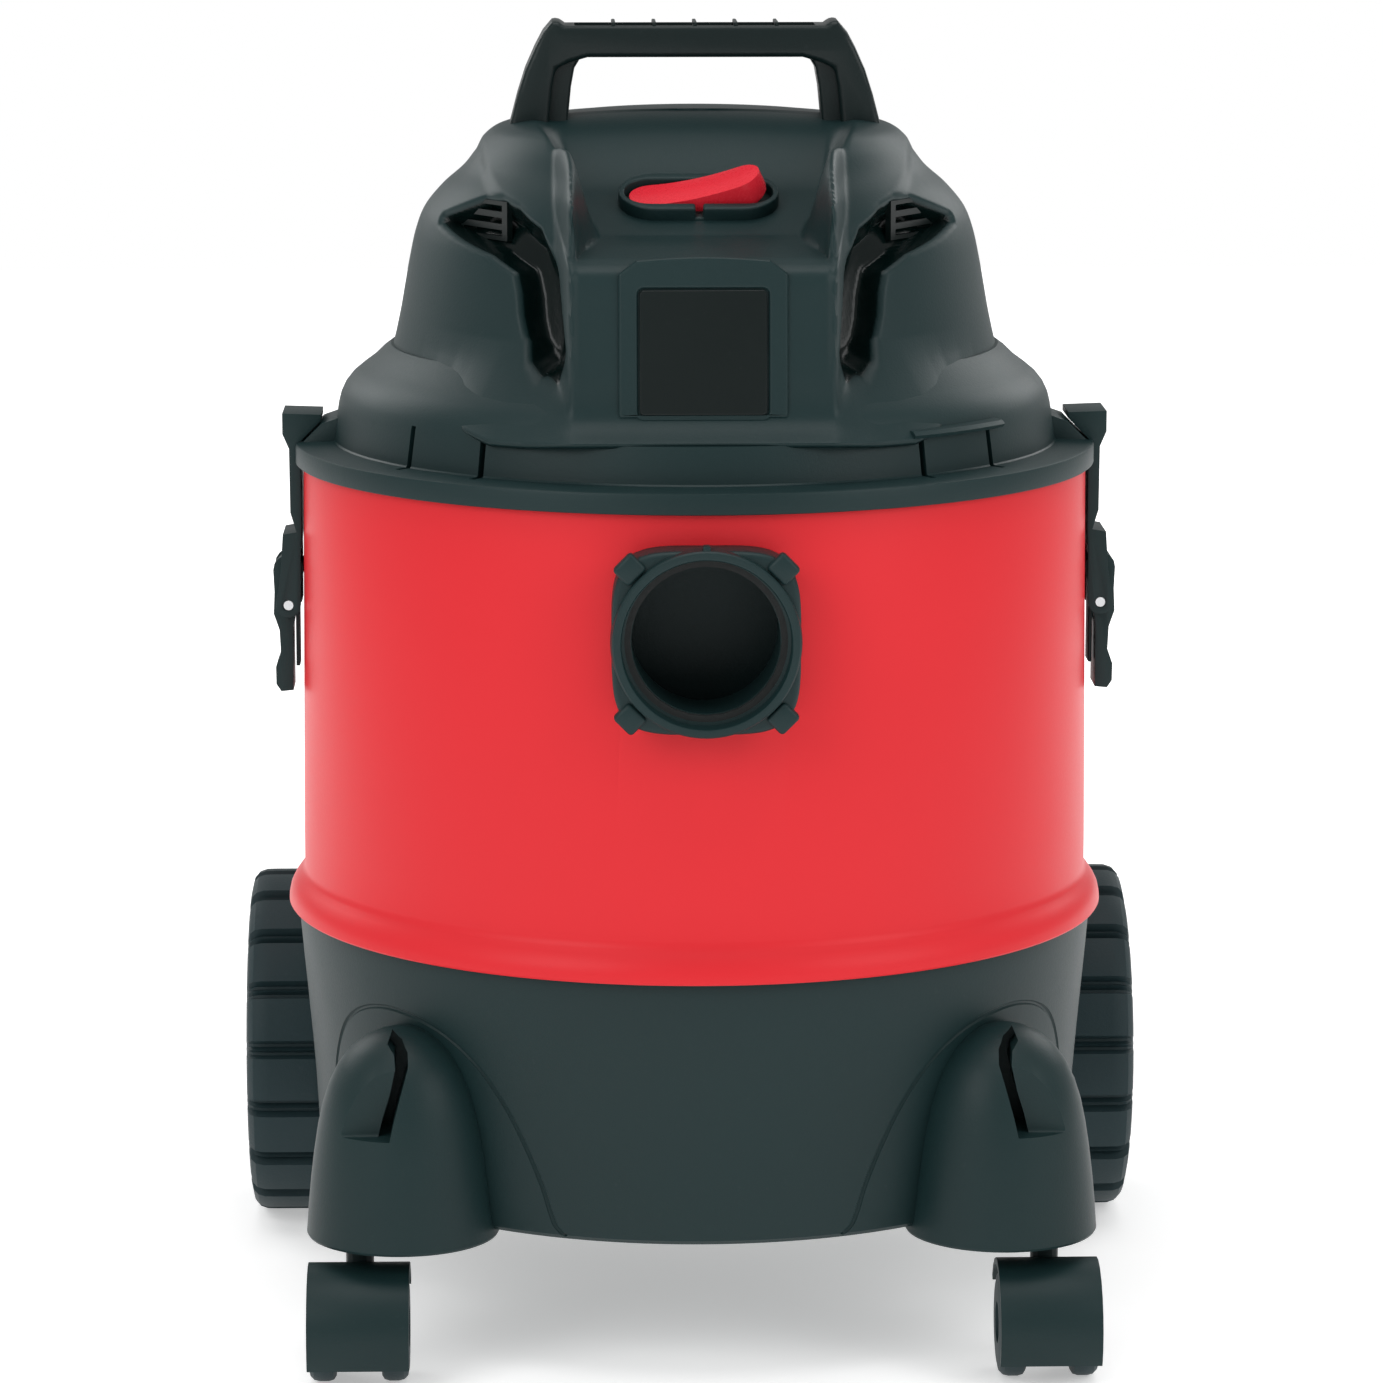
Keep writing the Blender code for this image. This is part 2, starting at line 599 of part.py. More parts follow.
def make_cover():
    cover = cover_form("motor_cover", "black", 0.0, 0.0)
    cut(cover, cover_form("cover_hollow", None, cover_wall, 0.03))
    bosses = rods("screw_bosses", 0.0055, lid_top_z + fit_gap, 0.4120, screw_spots())
    drilled = rods("screw_bores", 0.0018, 0.33, 0.3760, screw_spots())
    cut(join(cover, bosses), drilled)
    opening = sheet("switch_opening", None, stadium(rocker_length + 0.003, rocker_width + 0.003),
                    -0.02, 0.02, plane="XY", at=switch_place(), turn=(deck_tilt, 0, 0))
    gland_hole = rods("gland_hole", gland_radius + fit_gap, 0.10, 0.14, [(0, -gland_z)], sides=16,
                      turn=(-quarter, 0, 0))
    cut(cover, opening, gland_hole)
    for name, turn in vents():
        window = block("vent_window", None, (vent_radius - 0.01, -vent_width / 2, vent_z - vent_height / 2),
                       (0.14, vent_width / 2, vent_z + vent_height / 2), turn=(0, 0, turn))
        cut(cover, window)
        low = (vent_radius, fit_gap - vent_width / 2, vent_z - vent_height / 2 + fit_gap)
        high = (vent_radius + vent_plate, vent_width / 2 - fit_gap, vent_z + vent_height / 2 - fit_gap)
        grille = block(name, "deep black", low, high, turn=(0, 0, turn))
        slots = boxes(name + "_slots", (0.02, vent_width - 0.008, vent_slot), [
            Matrix.Translation((vent_radius, 0, vent_z + step * vent_pitch)) for step in (-1, 0, 1)])
        slots.rotation_euler = (0, 0, turn)
        cut(grille, slots)


def vents():
    """Where the cover's windows stand, as turns from +X."""
    return (("vent_grille_left", -quarter - vent_turn), ("vent_grille_right", -quarter + vent_turn),
            ("exhaust_grille", quarter - exhaust_turn))


def make_handle():
    """A channelled bar on two legs whose feet lie on the cover."""
    outline = [(-handle_foot_half, 0.474), (-0.0705, 0.492), (-0.0660, 0.506), (-handle_half_width, 0.5185),
               (-handle_half_width + 0.006, handle_top_z), (handle_half_width - 0.006, handle_top_z),
               (handle_half_width, 0.5185), (0.0660, 0.506), (0.0705, 0.492), (handle_foot_half, 0.474),
               (handle_inner_half + 0.0040, 0.474), (handle_inner_half, 0.503),
               (handle_inner_half - 0.0050, handle_bar_z), (0.0050 - handle_inner_half, handle_bar_z),
               (-handle_inner_half, 0.503), (-handle_inner_half - 0.0040, 0.474)]
    half = handle_depth / 2
    handle = sheet("carry_handle", "deep black", outline, -half, half)
    pocket = 0.0145
    hollows = boxes("handle_hollows", (pocket, handle_depth - 0.006, 0.012), [
        Matrix.Translation(((step - 2.5) * 0.0163, 0, handle_bar_z + 0.010)) for step in range(6)])
    cut(handle, hollows, dome("cover_clearance", None, -fit_gap, 0.05))


def make_switch():
    turn = (deck_tilt, 0, 0)
    bezel = sheet("switch_bezel", "black", stadium(bezel_length, bezel_depth), 0.0, bezel_height,
                  plane="XY", at=switch_place(fit_gap), turn=turn)
    inner = sheet("bezel_opening", None, stadium(rocker_length + 0.003, rocker_width + 0.003),
                  -0.01, 0.02, plane="XY", at=switch_place(fit_gap), turn=turn)
    cut(bezel, inner)
    reach = rocker_length / 2
    throw = math.degrees(rocker_throw)
    outline = arc(reach, 180 - 6, 180 + 8, 3) + [(-rocker_neck, -rocker_drop), (rocker_neck, -rocker_drop)]
    outline += arc(reach, throw - 8, throw + 8, 4) + [(0.0, rocker_waist)]
    rocker = sheet("switch_rocker", "rocker red", outline, -rocker_width, rocker_width,
                   at=switch_place(fit_gap), turn=turn)
    plan = sheet("rocker_plan", None, stadium(rocker_length, rocker_width), -0.02, 0.03, plane="XY",
                 at=switch_place(fit_gap), turn=turn)
    combine(rocker, plan, "INTERSECT")
    pressed = sheet("rocker_pressed_plan", None, stadium(rocker_length, rocker_width), -0.02, 0.03,
                    plane="XY", at=switch_place(fit_gap), turn=(deck_tilt, -rocker_throw, 0))
    pressed.rotation_mode = "YXZ"       # rolled over first, then tilted with the deck
    combine(rocker, pressed, "INTERSECT")
    block("switch_body", "ivory", (-0.0230, -0.0080, -0.0280), (0.0230, 0.0080, -0.0100), bevel=0.001,
          at=switch_place(), turn=turn)


def make_badge():
    lean = math.atan2(panel_brow_y - panel_face_y, panel_brow_z - panel_face_z)
    y = panel_face_y + (badge_z - panel_face_z) * math.tan(lean)
    half = badge_width / 2
    tall = badge_height / 2
    block("badge_plate", "deep black", (-half, -0.0020 - fit_gap, -tall), (half, -fit_gap - 0.0001, tall),
          bevel=0.0006, at=(0, y, badge_z), turn=(-lean, 0, 0))


def make_gland():
    flange_y = cover_foot_radius + 0.0003
    turned("cable_gland", "rubber", [
        (0.0045, flange_y + 0.024), (0.0055, flange_y + 0.023), (gland_radius, flange_y + 0.004),
        (0.0110, flange_y + 0.0035), (0.0110, flange_y + fit_gap), (gland_radius, flange_y + fit_gap),
        (gland_radius, flange_y - 0.006), (gland_bore, flange_y - 0.006), (gland_bore, flange_y + 0.024)],
        steps=16, at=(0, 0, gland_z), turn=(-quarter, 0, 0))


def make_cover_screws():
    for number, (x, y) in enumerate(screw_spots(), 1):
        turned(f"cover_screw_{number}", "steel", [
            (0.0, 0.3740), (0.0010, 0.3740), (0.0015, 0.3730), (0.0015, 0.3510), (0.0040, 0.3510),
            (0.0040, 0.3492), (0.0030, 0.3484), (0.0, 0.3484)], steps=8, at=(x, y, 0))


# ---- motor ----

def ring(name, finish, outer, inner, low, high, steps=20):
    return turned(name, finish, [(outer, high), (outer, low), (inner, low), (inner, high)], steps=steps)


def make_motor():
    hole = shaft_radius + fit_gap
    floor = lid_top_z + fit_gap
    shroud = turned("fan_shroud", "grey", [
        (shroud_radius, shroud_top_z), (shroud_radius, floor), (shroud_radius - 0.002, floor),
        (shroud_radius - 0.002, shroud_top_z - 0.002), (hole + 0.001, shroud_top_z - 0.002),
        (hole + 0.001, shroud_top_z)], steps=24)
    cut(shroud, boxes("shroud_outlets", (0.02, 0.026, 0.012),
                      spin_places(4, shroud_radius, shroud_top_z - 0.014)))
    ring("motor_mount_ring", "rubber", 0.0450, 0.0380, shroud_top_z + fit_gap, motor_floor_z - fit_gap)
    seat = bearing_radius + fit_gap
    bracket_radius = stator_radius + 0.004
    turned("motor_bracket_lower", "steel", [
        (bracket_radius, motor_floor_z + 0.0030), (bracket_radius, motor_floor_z),
        (hole + 0.001, motor_floor_z), (hole + 0.001, motor_floor_z + 0.0015),
        (seat, motor_floor_z + 0.0015), (seat, motor_floor_z + 0.0065),
        (seat + 0.002, motor_floor_z + 0.0065), (seat + 0.002, motor_floor_z + 0.0030)], steps=20)
    ring("lower_bearing", "steel", bearing_radius, hole, motor_floor_z + 0.0015 + fit_gap,
         motor_floor_z + 0.0065, steps=16)
    stator_low = motor_floor_z + 0.0030 + fit_gap
    stator_high = motor_top_z - 0.0030 - fit_gap
    ring("motor_stator", "copper", stator_radius, armature_radius + 0.001, stator_low, stator_high)
    turned("motor_bracket_upper", "steel", [
        (hole + 0.001, motor_top_z), (bracket_radius, motor_top_z), (bracket_radius, motor_top_z - 0.0030),
        (seat + 0.002, motor_top_z - 0.0030), (seat + 0.002, motor_top_z - 0.0065),
        (seat, motor_top_z - 0.0065), (seat, motor_top_z - 0.0015), (hole + 0.001, motor_top_z - 0.0015)],
        steps=20)
    ring("upper_bearing", "steel", bearing_radius, hole, motor_top_z - 0.0065,
         motor_top_z - 0.0015 - fit_gap, steps=16)
    ring("motor_armature", "copper", armature_radius, hole, motor_floor_z + 0.0085, motor_top_z - 0.0085)
    turned("motor_shaft", "steel", [
        (0.0, motor_top_z + 0.0130), (shaft_radius, motor_top_z + 0.0130), (shaft_radius, floor + 0.0010),
        (0.0, floor + 0.0010)], steps=12)
    impeller_low = floor + 0.003
    impeller = turned("fan_impeller", "grey", [
        (0.0120, shroud_top_z - 0.0060), (impeller_radius, shroud_top_z - 0.0060),
        (impeller_radius, shroud_top_z - 0.0075), (0.0120, shroud_top_z - 0.0075), (0.0120, impeller_low),
        (hole, impeller_low), (hole, shroud_top_z - 0.0045), (0.0120, shroud_top_z - 0.0045)], steps=20)
    blade_tall = shroud_top_z - 0.0070 - impeller_low
    join(impeller, boxes("impeller_blades", (0.044, 0.0015, blade_tall),
                         spin_places(8, 0.0345, impeller_low + blade_tall / 2)))
    fan = turned("cooling_fan", "grey", [
        (0.0090, motor_top_z + 0.0110), (0.0090, motor_top_z + 0.0010), (hole, motor_top_z + 0.0010),
        (hole, motor_top_z + 0.0110)], steps=12)
    join(fan, boxes("cooling_blades", (0.0230, 0.0015, 0.0060),
                    [place @ Matrix.Rotation(0.5, 4, "X") for place in
                     spin_places(7, 0.0195, motor_top_z + 0.0060)]))


def make_filter():
    top = lid_top_z - lid_plate + 0.0004 - fit_gap
    inner = cage_radius - 0.0025
    cage = turned("float_cage", "grey", [
        (cage_radius + 0.006, top), (cage_radius + 0.006, top - 0.003), (cage_radius, top - 0.003),
        (cage_radius, cage_foot_z), (0.0, cage_foot_z), (0.0, cage_foot_z + 0.0025),
        (inner, cage_foot_z + 0.0025), (inner, float_seat_z),
        (float_radius - 0.004, float_seat_z), (float_radius - 0.004, float_seat_z + 0.0025),
        (inner, float_seat_z + 0.0025), (inner, top)], steps=24)
    cut(cage, boxes("cage_windows", (0.02, 0.026, 0.052), spin_places(8, cage_radius, 0.2885)))
    low = cage_foot_z - 0.0028
    sleeve = cage_radius + 0.0010
    outer = sleeve + filter_thickness
    turned("filter_sleeve", "foam", [
        (outer, top - 0.0040), (outer, low - 0.0030), (0.0, low - 0.0030), (0.0, low),
        (sleeve, low), (sleeve, top - 0.0040)], steps=24)
    ring("filter_band", "rubber", outer + 0.0025, outer + fit_gap, 0.3300, 0.3380, steps=24)
    rest = cage_foot_z + 0.0025 + fit_gap + float_radius
    form = bmesh.new()
    bmesh.ops.create_uvsphere(form, u_segments=16, v_segments=8, radius=float_radius)
    from_bmesh("float_ball", "ivory", form, (0, 0, rest), (0, 0, 0), smooth=True)


# ---- side latches ----

def make_latch(side, name):
    """Bracket on the drum, lever on the bracket's pin, hook on the lever's own pin."""
    pivot = (side * latch_x, 0.0, latch_z)
    hook_pin = (side * latch_x, 0.0, latch_z - hook_pin_drop)
    across = (quarter, 0, 0)
    hole = latch_pin_radius + fit_gap
    wall_x = tank_belly_radius + fit_gap + 0.0006 - latch_x

    def flip(points):
        return [(side * u, v) for u, v in points]

    # bracket: a plate against the drum and a round lug between the lever's cheeks
    plate = [(wall_x, -0.040), (wall_x + 0.0015, -0.040), (wall_x + 0.0015, -0.0065)]
    lug = arc(0.0055, -70, 90, 6) + [(wall_x, 0.0070)]
    bracket = sheet("latch_bracket_" + name, "black", flip(plate + lug), 0.0004 - cheek_inner,
                    cheek_inner - 0.0004, at=pivot)
    cut(bracket, rods("latch_bore", hole, -0.02, 0.02, [(0, 0)], turn=across, at=pivot))
    rods("latch_pivot_pin_" + name, latch_pin_radius, -cheek_outer, cheek_outer, [(0, 0)], finish="steel",
         turn=across, at=pivot)

    # lever: two cheeks that meet in a thumb tab below both pins
    tab = [(-0.0015, -0.0245), (-0.0015, -0.0495), (0.0035, -0.0500), (0.0055, -0.0470), (0.0056, -0.0400),
           (0.0035, -0.0340), (0.0040, -0.0245)]
    cheek = arc(0.0062, 0, 180, 8) + [(-0.0030, -0.0140)] + [(-0.0015, -0.0245)] \
        + [(0.0040, -0.0245), (0.0062, -0.0180), (0.0058, -0.0090)]
    lever = sheet("latch_lever_" + name, "black", flip(cheek), -cheek_outer, cheek_outer, at=pivot)
    lever_tab = sheet("thumb_tab", None, flip([(-0.0015, -0.0235)] + tab[1:6] + [(0.0040, -0.0235)]),
                      -cheek_outer, cheek_outer, at=pivot)
    between = block("between_cheeks", None, (-0.02, -cheek_inner, -0.0225), (0.02, cheek_inner, 0.02),
                    at=pivot)
    bores = rods("lever_bores", hole, -0.02, 0.02, [(0, 0), (0, -hook_pin_drop)], turn=across, at=pivot)
    cut(join(lever, lever_tab), between, bores)
    rods("latch_hook_pin_" + name, latch_pin_radius, -fork_outer, fork_outer, [(0, 0)], finish="steel",
         turn=across, at=hook_pin)

    # hook: a fork round the cheeks, a stem and a claw that leans over the lid's lug
    slope = 1 / math.tan(claw_slope)
    lug_foot = 0.1587 + 0.0007 - latch_x
    cap_low = lid_top_z - (latch_z - hook_pin_drop)
    cap_high = 0.3654 - (latch_z - hook_pin_drop)
    tip = cap_high - 0.0030
    hook_side = arc(0.0050, 180, 360, 8) + [
        (0.0030, 0.0140), (0.0020, 0.0290), (-0.0036, 0.0300), (-0.0012, 0.0380), (-0.0010, 0.0640),
        (0.0016, 0.0700), (0.0016, cap_high), (lug_foot - (tip - cap_low) * slope, cap_high - 0.0005),
        (lug_foot - (tip - cap_low) * slope, tip), (lug_foot, cap_low), (lug_foot, 0.0300),
        (-0.0052, 0.0240), (-0.0050, 0.0100)]
    hook = sheet("latch_hook_" + name, "black", flip(hook_side), -fork_outer, fork_outer, at=hook_pin)
    slot = block("fork_slot", None, (-0.02, -fork_inner, -0.02), (0.02, fork_inner, 0.0222), at=hook_pin)
    bore = rods("hook_bore", hole, -0.02, 0.02, [(0, 0)], turn=across, at=hook_pin)
    cut(hook, slot, bore)


make_tank()
make_base()
make_inlet()
make_lid()
make_cover()
make_handle()
make_switch()
make_badge()
make_gland()
make_cover_screws()
make_motor()
make_filter()
for side_sign, side_name in ((-1, "left"), (1, "right")):
    make_rear_wheel(side_sign, side_name)
    make_caster(side_sign, side_name)
    make_latch(side_sign, side_name)
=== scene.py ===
import json
import math

import bmesh
import bpy
from mathutils import Matrix, Vector


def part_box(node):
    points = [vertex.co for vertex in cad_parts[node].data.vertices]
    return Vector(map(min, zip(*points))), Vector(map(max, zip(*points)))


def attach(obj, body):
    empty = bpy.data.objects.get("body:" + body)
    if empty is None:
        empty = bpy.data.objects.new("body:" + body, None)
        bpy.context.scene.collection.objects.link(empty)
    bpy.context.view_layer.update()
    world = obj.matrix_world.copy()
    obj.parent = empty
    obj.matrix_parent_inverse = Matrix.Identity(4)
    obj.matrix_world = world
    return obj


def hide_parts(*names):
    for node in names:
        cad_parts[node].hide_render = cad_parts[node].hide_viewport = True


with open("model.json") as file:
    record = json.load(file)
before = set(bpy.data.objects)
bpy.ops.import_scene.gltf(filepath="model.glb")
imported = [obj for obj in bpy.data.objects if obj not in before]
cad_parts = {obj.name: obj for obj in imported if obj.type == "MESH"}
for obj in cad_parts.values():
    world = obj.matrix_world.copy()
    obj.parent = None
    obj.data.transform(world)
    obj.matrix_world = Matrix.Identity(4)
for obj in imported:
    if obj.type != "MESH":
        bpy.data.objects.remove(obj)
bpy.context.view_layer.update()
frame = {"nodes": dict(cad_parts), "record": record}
print("frame loaded:", len(frame["nodes"]), "nodes")

quarter = math.pi / 2
fullTurn = 2 * math.pi
tankLow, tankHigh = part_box("tank")
drum = Matrix.Translation((0, (tankLow.y + tankHigh.y) / 2, 0))    # the drum's axis in the frame


# camera, floor and soft light

studio = {
    "cameraAt": (-0.0593, -2.2273, 0.656), "cameraTurn": (79.6, 0.0, -1.5), "lens": 143.4,
    "floorSize": 8.0, "world": 0.42,
    "panels": (                       # place, size, strength, aimed at the object's middle
        ((-1.5, -1.6, 1.5), 1.3, 19), ((1.7, -1.3, 1.3), 1.2, 14), ((0.0, -0.3, 2.2), 1.4, 17),
        ((-1.3, 1.3, 1.2), 1.0, 10), ((1.3, 1.4, 1.2), 1.0, 10)),
}


def makeStudio():
    lens = bpy.data.cameras.new("camera")
    lens.lens = studio["lens"]
    lens.sensor_width = 36
    camera = bpy.data.objects.new("camera", lens)
    camera.location = studio["cameraAt"]
    camera.rotation_euler = [math.radians(angle) for angle in studio["cameraTurn"]]
    bpy.context.scene.collection.objects.link(camera)
    bpy.context.scene.camera = camera
    for number, (place, size, strength) in enumerate(studio["panels"]):
        light = bpy.data.lights.new(f"panel{number}", "AREA")
        light.size = size
        light.energy = strength
        lamp = bpy.data.objects.new(f"panel{number}", light)
        lamp.location = place
        aim = Vector((0, 0, 0.26)) - Vector(place)
        lamp.rotation_euler = aim.to_track_quat("-Z", "Y").to_euler()
        bpy.context.scene.collection.objects.link(lamp)
    world = bpy.data.worlds.new("studio")
    world.use_nodes = True
    sky = world.node_tree.nodes["Background"]
    sky.inputs["Color"].default_value = (1, 1, 1, 1)
    seen = world.node_tree.nodes.new("ShaderNodeLightPath")
    level = world.node_tree.nodes.new("ShaderNodeMapRange")      # white behind the object, dimmer as light
    level.inputs["To Min"].default_value = studio["world"]
    level.inputs["To Max"].default_value = 1.0
    world.node_tree.links.new(seen.outputs["Is Camera Ray"], level.inputs["Value"])
    world.node_tree.links.new(level.outputs["Result"], sky.inputs["Strength"])
    bpy.context.scene.world = world
    form = bmesh.new()
    bmesh.ops.create_grid(form, x_segments=1, y_segments=1, size=studio["floorSize"] / 2)
    mesh = bpy.data.meshes.new("floor")
    form.to_mesh(mesh)
    form.free()
    floor = bpy.data.objects.new("floor", mesh)
    bpy.context.scene.collection.objects.link(floor)
    pale = Shop("paleFloor")
    # painted light: the floor's emission glows from grey near the middle to white far out, in place of lamp
    # light that fades with distance
    away = pale.node("ShaderNodeVectorMath", {"operation": "LENGTH"}, {0: pale.place}, output=1)
    paintedFloorGlow = pale.mix(pale.step(away, 0.45, 2.2), (0.40, 0.40, 0.40, 1), (1, 1, 1, 1))
    pale.set({"Base Color": (0.86, 0.86, 0.86, 1), "Roughness": 0.9, "Emission Color": paintedFloorGlow,
              "Emission Strength": 1.0})
    mesh.materials.append(pale.coat)
    bpy.context.scene.view_settings.view_transform = "Standard"


# shader expressions

class Signal:                          # a socket that can be added, subtracted and scaled
    def __init__(self, shop, socket):
        self.shop = shop
        self.socket = socket

    def maths(self, operation, first, second):
        return self.shop.node("ShaderNodeMath", {"operation": operation}, {0: first, 1: second})

    def __add__(self, other):
        return self.maths("ADD", self, other)

    def __sub__(self, other):
        return self.maths("SUBTRACT", self, other)

    def __mul__(self, other):
        return self.maths("MULTIPLY", self, other)

    def __rsub__(self, other):
        return self.maths("SUBTRACT", other, self)

    __radd__ = __add__
    __rmul__ = __mul__


class Shop:                            # one material and its nodes
    def __init__(self, name):
        self.coat = bpy.data.materials.new(name)
        self.coat.use_nodes = True
        self.tree = self.coat.node_tree
        self.shader = self.tree.nodes["Principled BSDF"]
        self.place = self.node("ShaderNodeTexCoord", output="Object")

    def node(self, kind, settings=None, inputs=None, output=0):
        made = self.tree.nodes.new(kind)
        for name, value in (settings or {}).items():
            setattr(made, name, value)
        for name, value in (inputs or {}).items():
            self.feed(made.inputs[name], value)
        return Signal(self, made.outputs[output])

    def feed(self, socket, value):
        if isinstance(value, Signal):
            self.tree.links.new(value.socket, socket)
        else:
            socket.default_value = value

    def set(self, inputs):
        for name, value in inputs.items():
            self.feed(self.shader.inputs[name], value)

    def noise(self, scale, detail=2.0, rough=0.5):
        return self.node("ShaderNodeTexNoise", inputs={"Vector": self.place, "Scale": scale,
                                                       "Detail": detail, "Roughness": rough})

    def step(self, value, low, high):
        return self.node("ShaderNodeMapRange", {"interpolation_type": "SMOOTHSTEP"},
                         {"Value": value, "From Min": low, "From Max": high})

    def mix(self, share, first, second):
        return self.node("ShaderNodeMix", {"data_type": "RGBA"}, {0: share, 6: first, 7: second}, output=2)

    def bump(self, height, depth):
        return self.node("ShaderNodeBump", inputs={"Height": height, "Strength": 1.0, "Distance": depth})


def tone(colour, share):
    return tuple(min(1.0, part * share) for part in colour) + (1.0,)


def moulded(name, colour, roughness, grain=0.00005, spread=0.10, wear=0.25, specular=0.5, glossAndPaintedShadeMark=None):
    shop = Shop(name)
    cloud = shop.noise(14.0, 3.0)                        # slow change of tone across the moulding
    speck = shop.noise(900.0, 2.0, 0.6)                  # the mould's fine grain
    scuff = shop.step(shop.noise(75.0, 6.0, 0.7), 0.60, 0.80)
    dust = shop.step(shop.noise(260.0, 4.0, 0.6), 0.62, 0.85)
    body = shop.mix(cloud, tone(colour, 1 - spread), tone(colour, 1 + spread))
    paler = tuple(0.72 * part + 0.28 * 0.35 for part in colour) + (1.0,)
    body = shop.mix(dust * (wear * 0.22), body, paler)
    rough = roughness + (cloud - 0.5) * 0.10 + scuff * (wear * 0.28) + (speck - 0.5) * 0.08
    if glossAndPaintedShadeMark:                                         # a glossy area marked by a vertex attribute, also given a darker colour there as painted shade
        mark = shop.node("ShaderNodeAttribute", {"attribute_name": glossAndPaintedShadeMark}, output=2)
        marked = shop.step(mark, 0.30, 0.60)
        # painted shade: inside the mark the base colour turns far darker, as if shade fell in the recess; the
        # lower roughness is real gloss
        body = shop.mix(marked, body, (*glossBlackAndPaintedShadeTone, 1.0))
        rough = rough - marked * 0.27
    shop.set({"Base Color": body, "Roughness": rough, "Specular IOR Level": specular,
              "Normal": shop.bump(speck + shop.noise(2400.0) * 0.5, grain)})
    return shop.coat


def metal(name, colour, roughness, brushed=260.0):
    shop = Shop(name)
    lines = shop.node("ShaderNodeTexNoise", inputs={
        "Vector": shop.node("ShaderNodeMapping", inputs={"Vector": shop.place,
                                                         "Scale": (brushed, 12.0, 12.0)}),
        "Scale": 6.0, "Detail": 3.0})
    stain = shop.step(shop.noise(120.0, 5.0), 0.50, 0.80)
    shop.set({"Base Color": shop.mix(stain * 0.35, tone(colour, 1.0), tone(colour, 0.62)), "Metallic": 1.0,
              "Roughness": roughness + (lines - 0.5) * 0.20 + stain * 0.15,
              "Normal": shop.bump(lines, 0.00002)})
    return shop.coat


def rubbery(name, colour, pore=420.0, depth=0.00012):
    shop = Shop(name)
    cells = shop.node("ShaderNodeTexVoronoi", inputs={"Vector": shop.place, "Scale": pore})
    bloom = shop.step(shop.noise(40.0, 5.0, 0.7), 0.45, 0.80)
    shop.set({"Base Color": shop.mix(bloom * 0.5, tone(colour, 1.0), tone(colour, 2.1)),
              "Roughness": 0.74 + bloom * 0.18, "Specular IOR Level": 0.35,
              "Normal": shop.bump(cells, depth)})
    return shop.coat


blackTone = (0.0068, 0.0215, 0.0225)
# the gloss black tone is the badge's own colour and, in the cover's scoops, painted shade
glossBlackAndPaintedShadeTone = (0.0010, 0.0048, 0.0045)
deepTone = (0.0035, 0.0100, 0.0100)
rockerTone = (0.690, 0.020, 0.036)
makers = {                # name, colour, roughness, grain, spread of tone, wear, specular
    "red_plastic": lambda: moulded("redDrum", (0.650, 0.024, 0.031), 0.38, 0.00002, 0.02, 0.10, 0.15),
    "black_plastic": lambda: moulded("blackShell", blackTone, 0.46, specular=0.24),
    "deep_black_plastic": lambda: moulded("deepBlack", deepTone, 0.38, specular=0.26),
    "gloss_black_plastic": lambda: moulded("glossBlack", glossBlackAndPaintedShadeTone, 0.32, 0.00001, 0.15, 0.25, 0.28),
    "wheel_plastic": lambda: moulded("wheelBlack", (0.0130, 0.0290, 0.0330), 0.54, 0.00008, 0.12, 0.50, 0.24),
    "rocker_red_plastic": lambda: moulded("rockerRed", rockerTone, 0.27, 0.00001, 0.03, 0.10, 0.30),
    "grey_plastic": lambda: moulded("innerGrey", (0.190, 0.200, 0.210), 0.50),
    "ivory_plastic": lambda: moulded("innerIvory", (0.700, 0.670, 0.590), 0.45, spread=0.05),
    "rubber": lambda: rubbery("blackRubber", (0.012, 0.014, 0.014)),
    "foam": lambda: rubbery("filterFoam", (0.030, 0.034, 0.038), 300.0, 0.0008),
    "steel": lambda: metal("zincSteel", (0.58, 0.59, 0.60), 0.30),
    "copper": lambda: metal("windingCopper", (0.72, 0.32, 0.16), 0.34, 60.0),
}
coats = {slot: make() for slot, make in makers.items()}
makeStudio()
print("materials made:", len(coats))


# shapes

def easeStep(low, high, value):
    share = min(1.0, max(0.0, (value - low) / (high - low)))
    return share * share * (3 - 2 * share)


def blendOf(first, second, share):
    return first + (second - first) * share


def arcPoints(radius, start, end, count, centre=(0.0, 0.0)):
    turns = [math.radians(start + (end - start) * step / count) for step in range(count + 1)]
    return [(centre[0] + radius * math.cos(a), centre[1] + radius * math.sin(a)) for a in turns]


def spun(profile, steps):                                 # a closed outline of radius and height, turned
    form = bmesh.new()
    points = [form.verts.new((radius, 0, height)) for radius, height in profile]
    ring = points + points[:1]
    lines = [form.edges.new(pair) for pair in zip(ring, ring[1:]) if pair[0].co.x > 0 or pair[1].co.x > 0]
    bmesh.ops.spin(form, geom=points + lines, cent=(0, 0, 0), axis=(0, 0, 1), angle=fullTurn, steps=steps,
                   use_merge=True)
    tidyForm(form)
    return form


def tidyForm(form):
    bmesh.ops.remove_doubles(form, verts=form.verts, dist=0.000002)
    bmesh.ops.recalc_face_normals(form, faces=form.faces)


def plate(outline, low, high, plane="XY"):
    form = bmesh.new()
    face = form.faces.new([form.verts.new((u, v, low)) for u, v in outline])
    raised = bmesh.ops.extrude_face_region(form, geom=[face])
    tops = [item for item in raised["geom"] if isinstance(item, bmesh.types.BMVert)]
    bmesh.ops.translate(form, verts=tops, vec=(0, 0, high - low))
    if plane == "XZ":
        moved(form, Matrix.Rotation(quarter, 4, "X") @ Matrix.Scale(-1, 4, (0, 0, 1)))
    bmesh.ops.recalc_face_normals(form, faces=form.faces)
    return form


def cuboid(size, middle=(0, 0, 0), turn=None):
    form = bmesh.new()
    place = Matrix.Translation(middle) @ (turn or Matrix.Identity(4)) @ Matrix.Diagonal((*size, 1.0))
    bmesh.ops.create_cube(form, size=1.0, matrix=place)
    return form


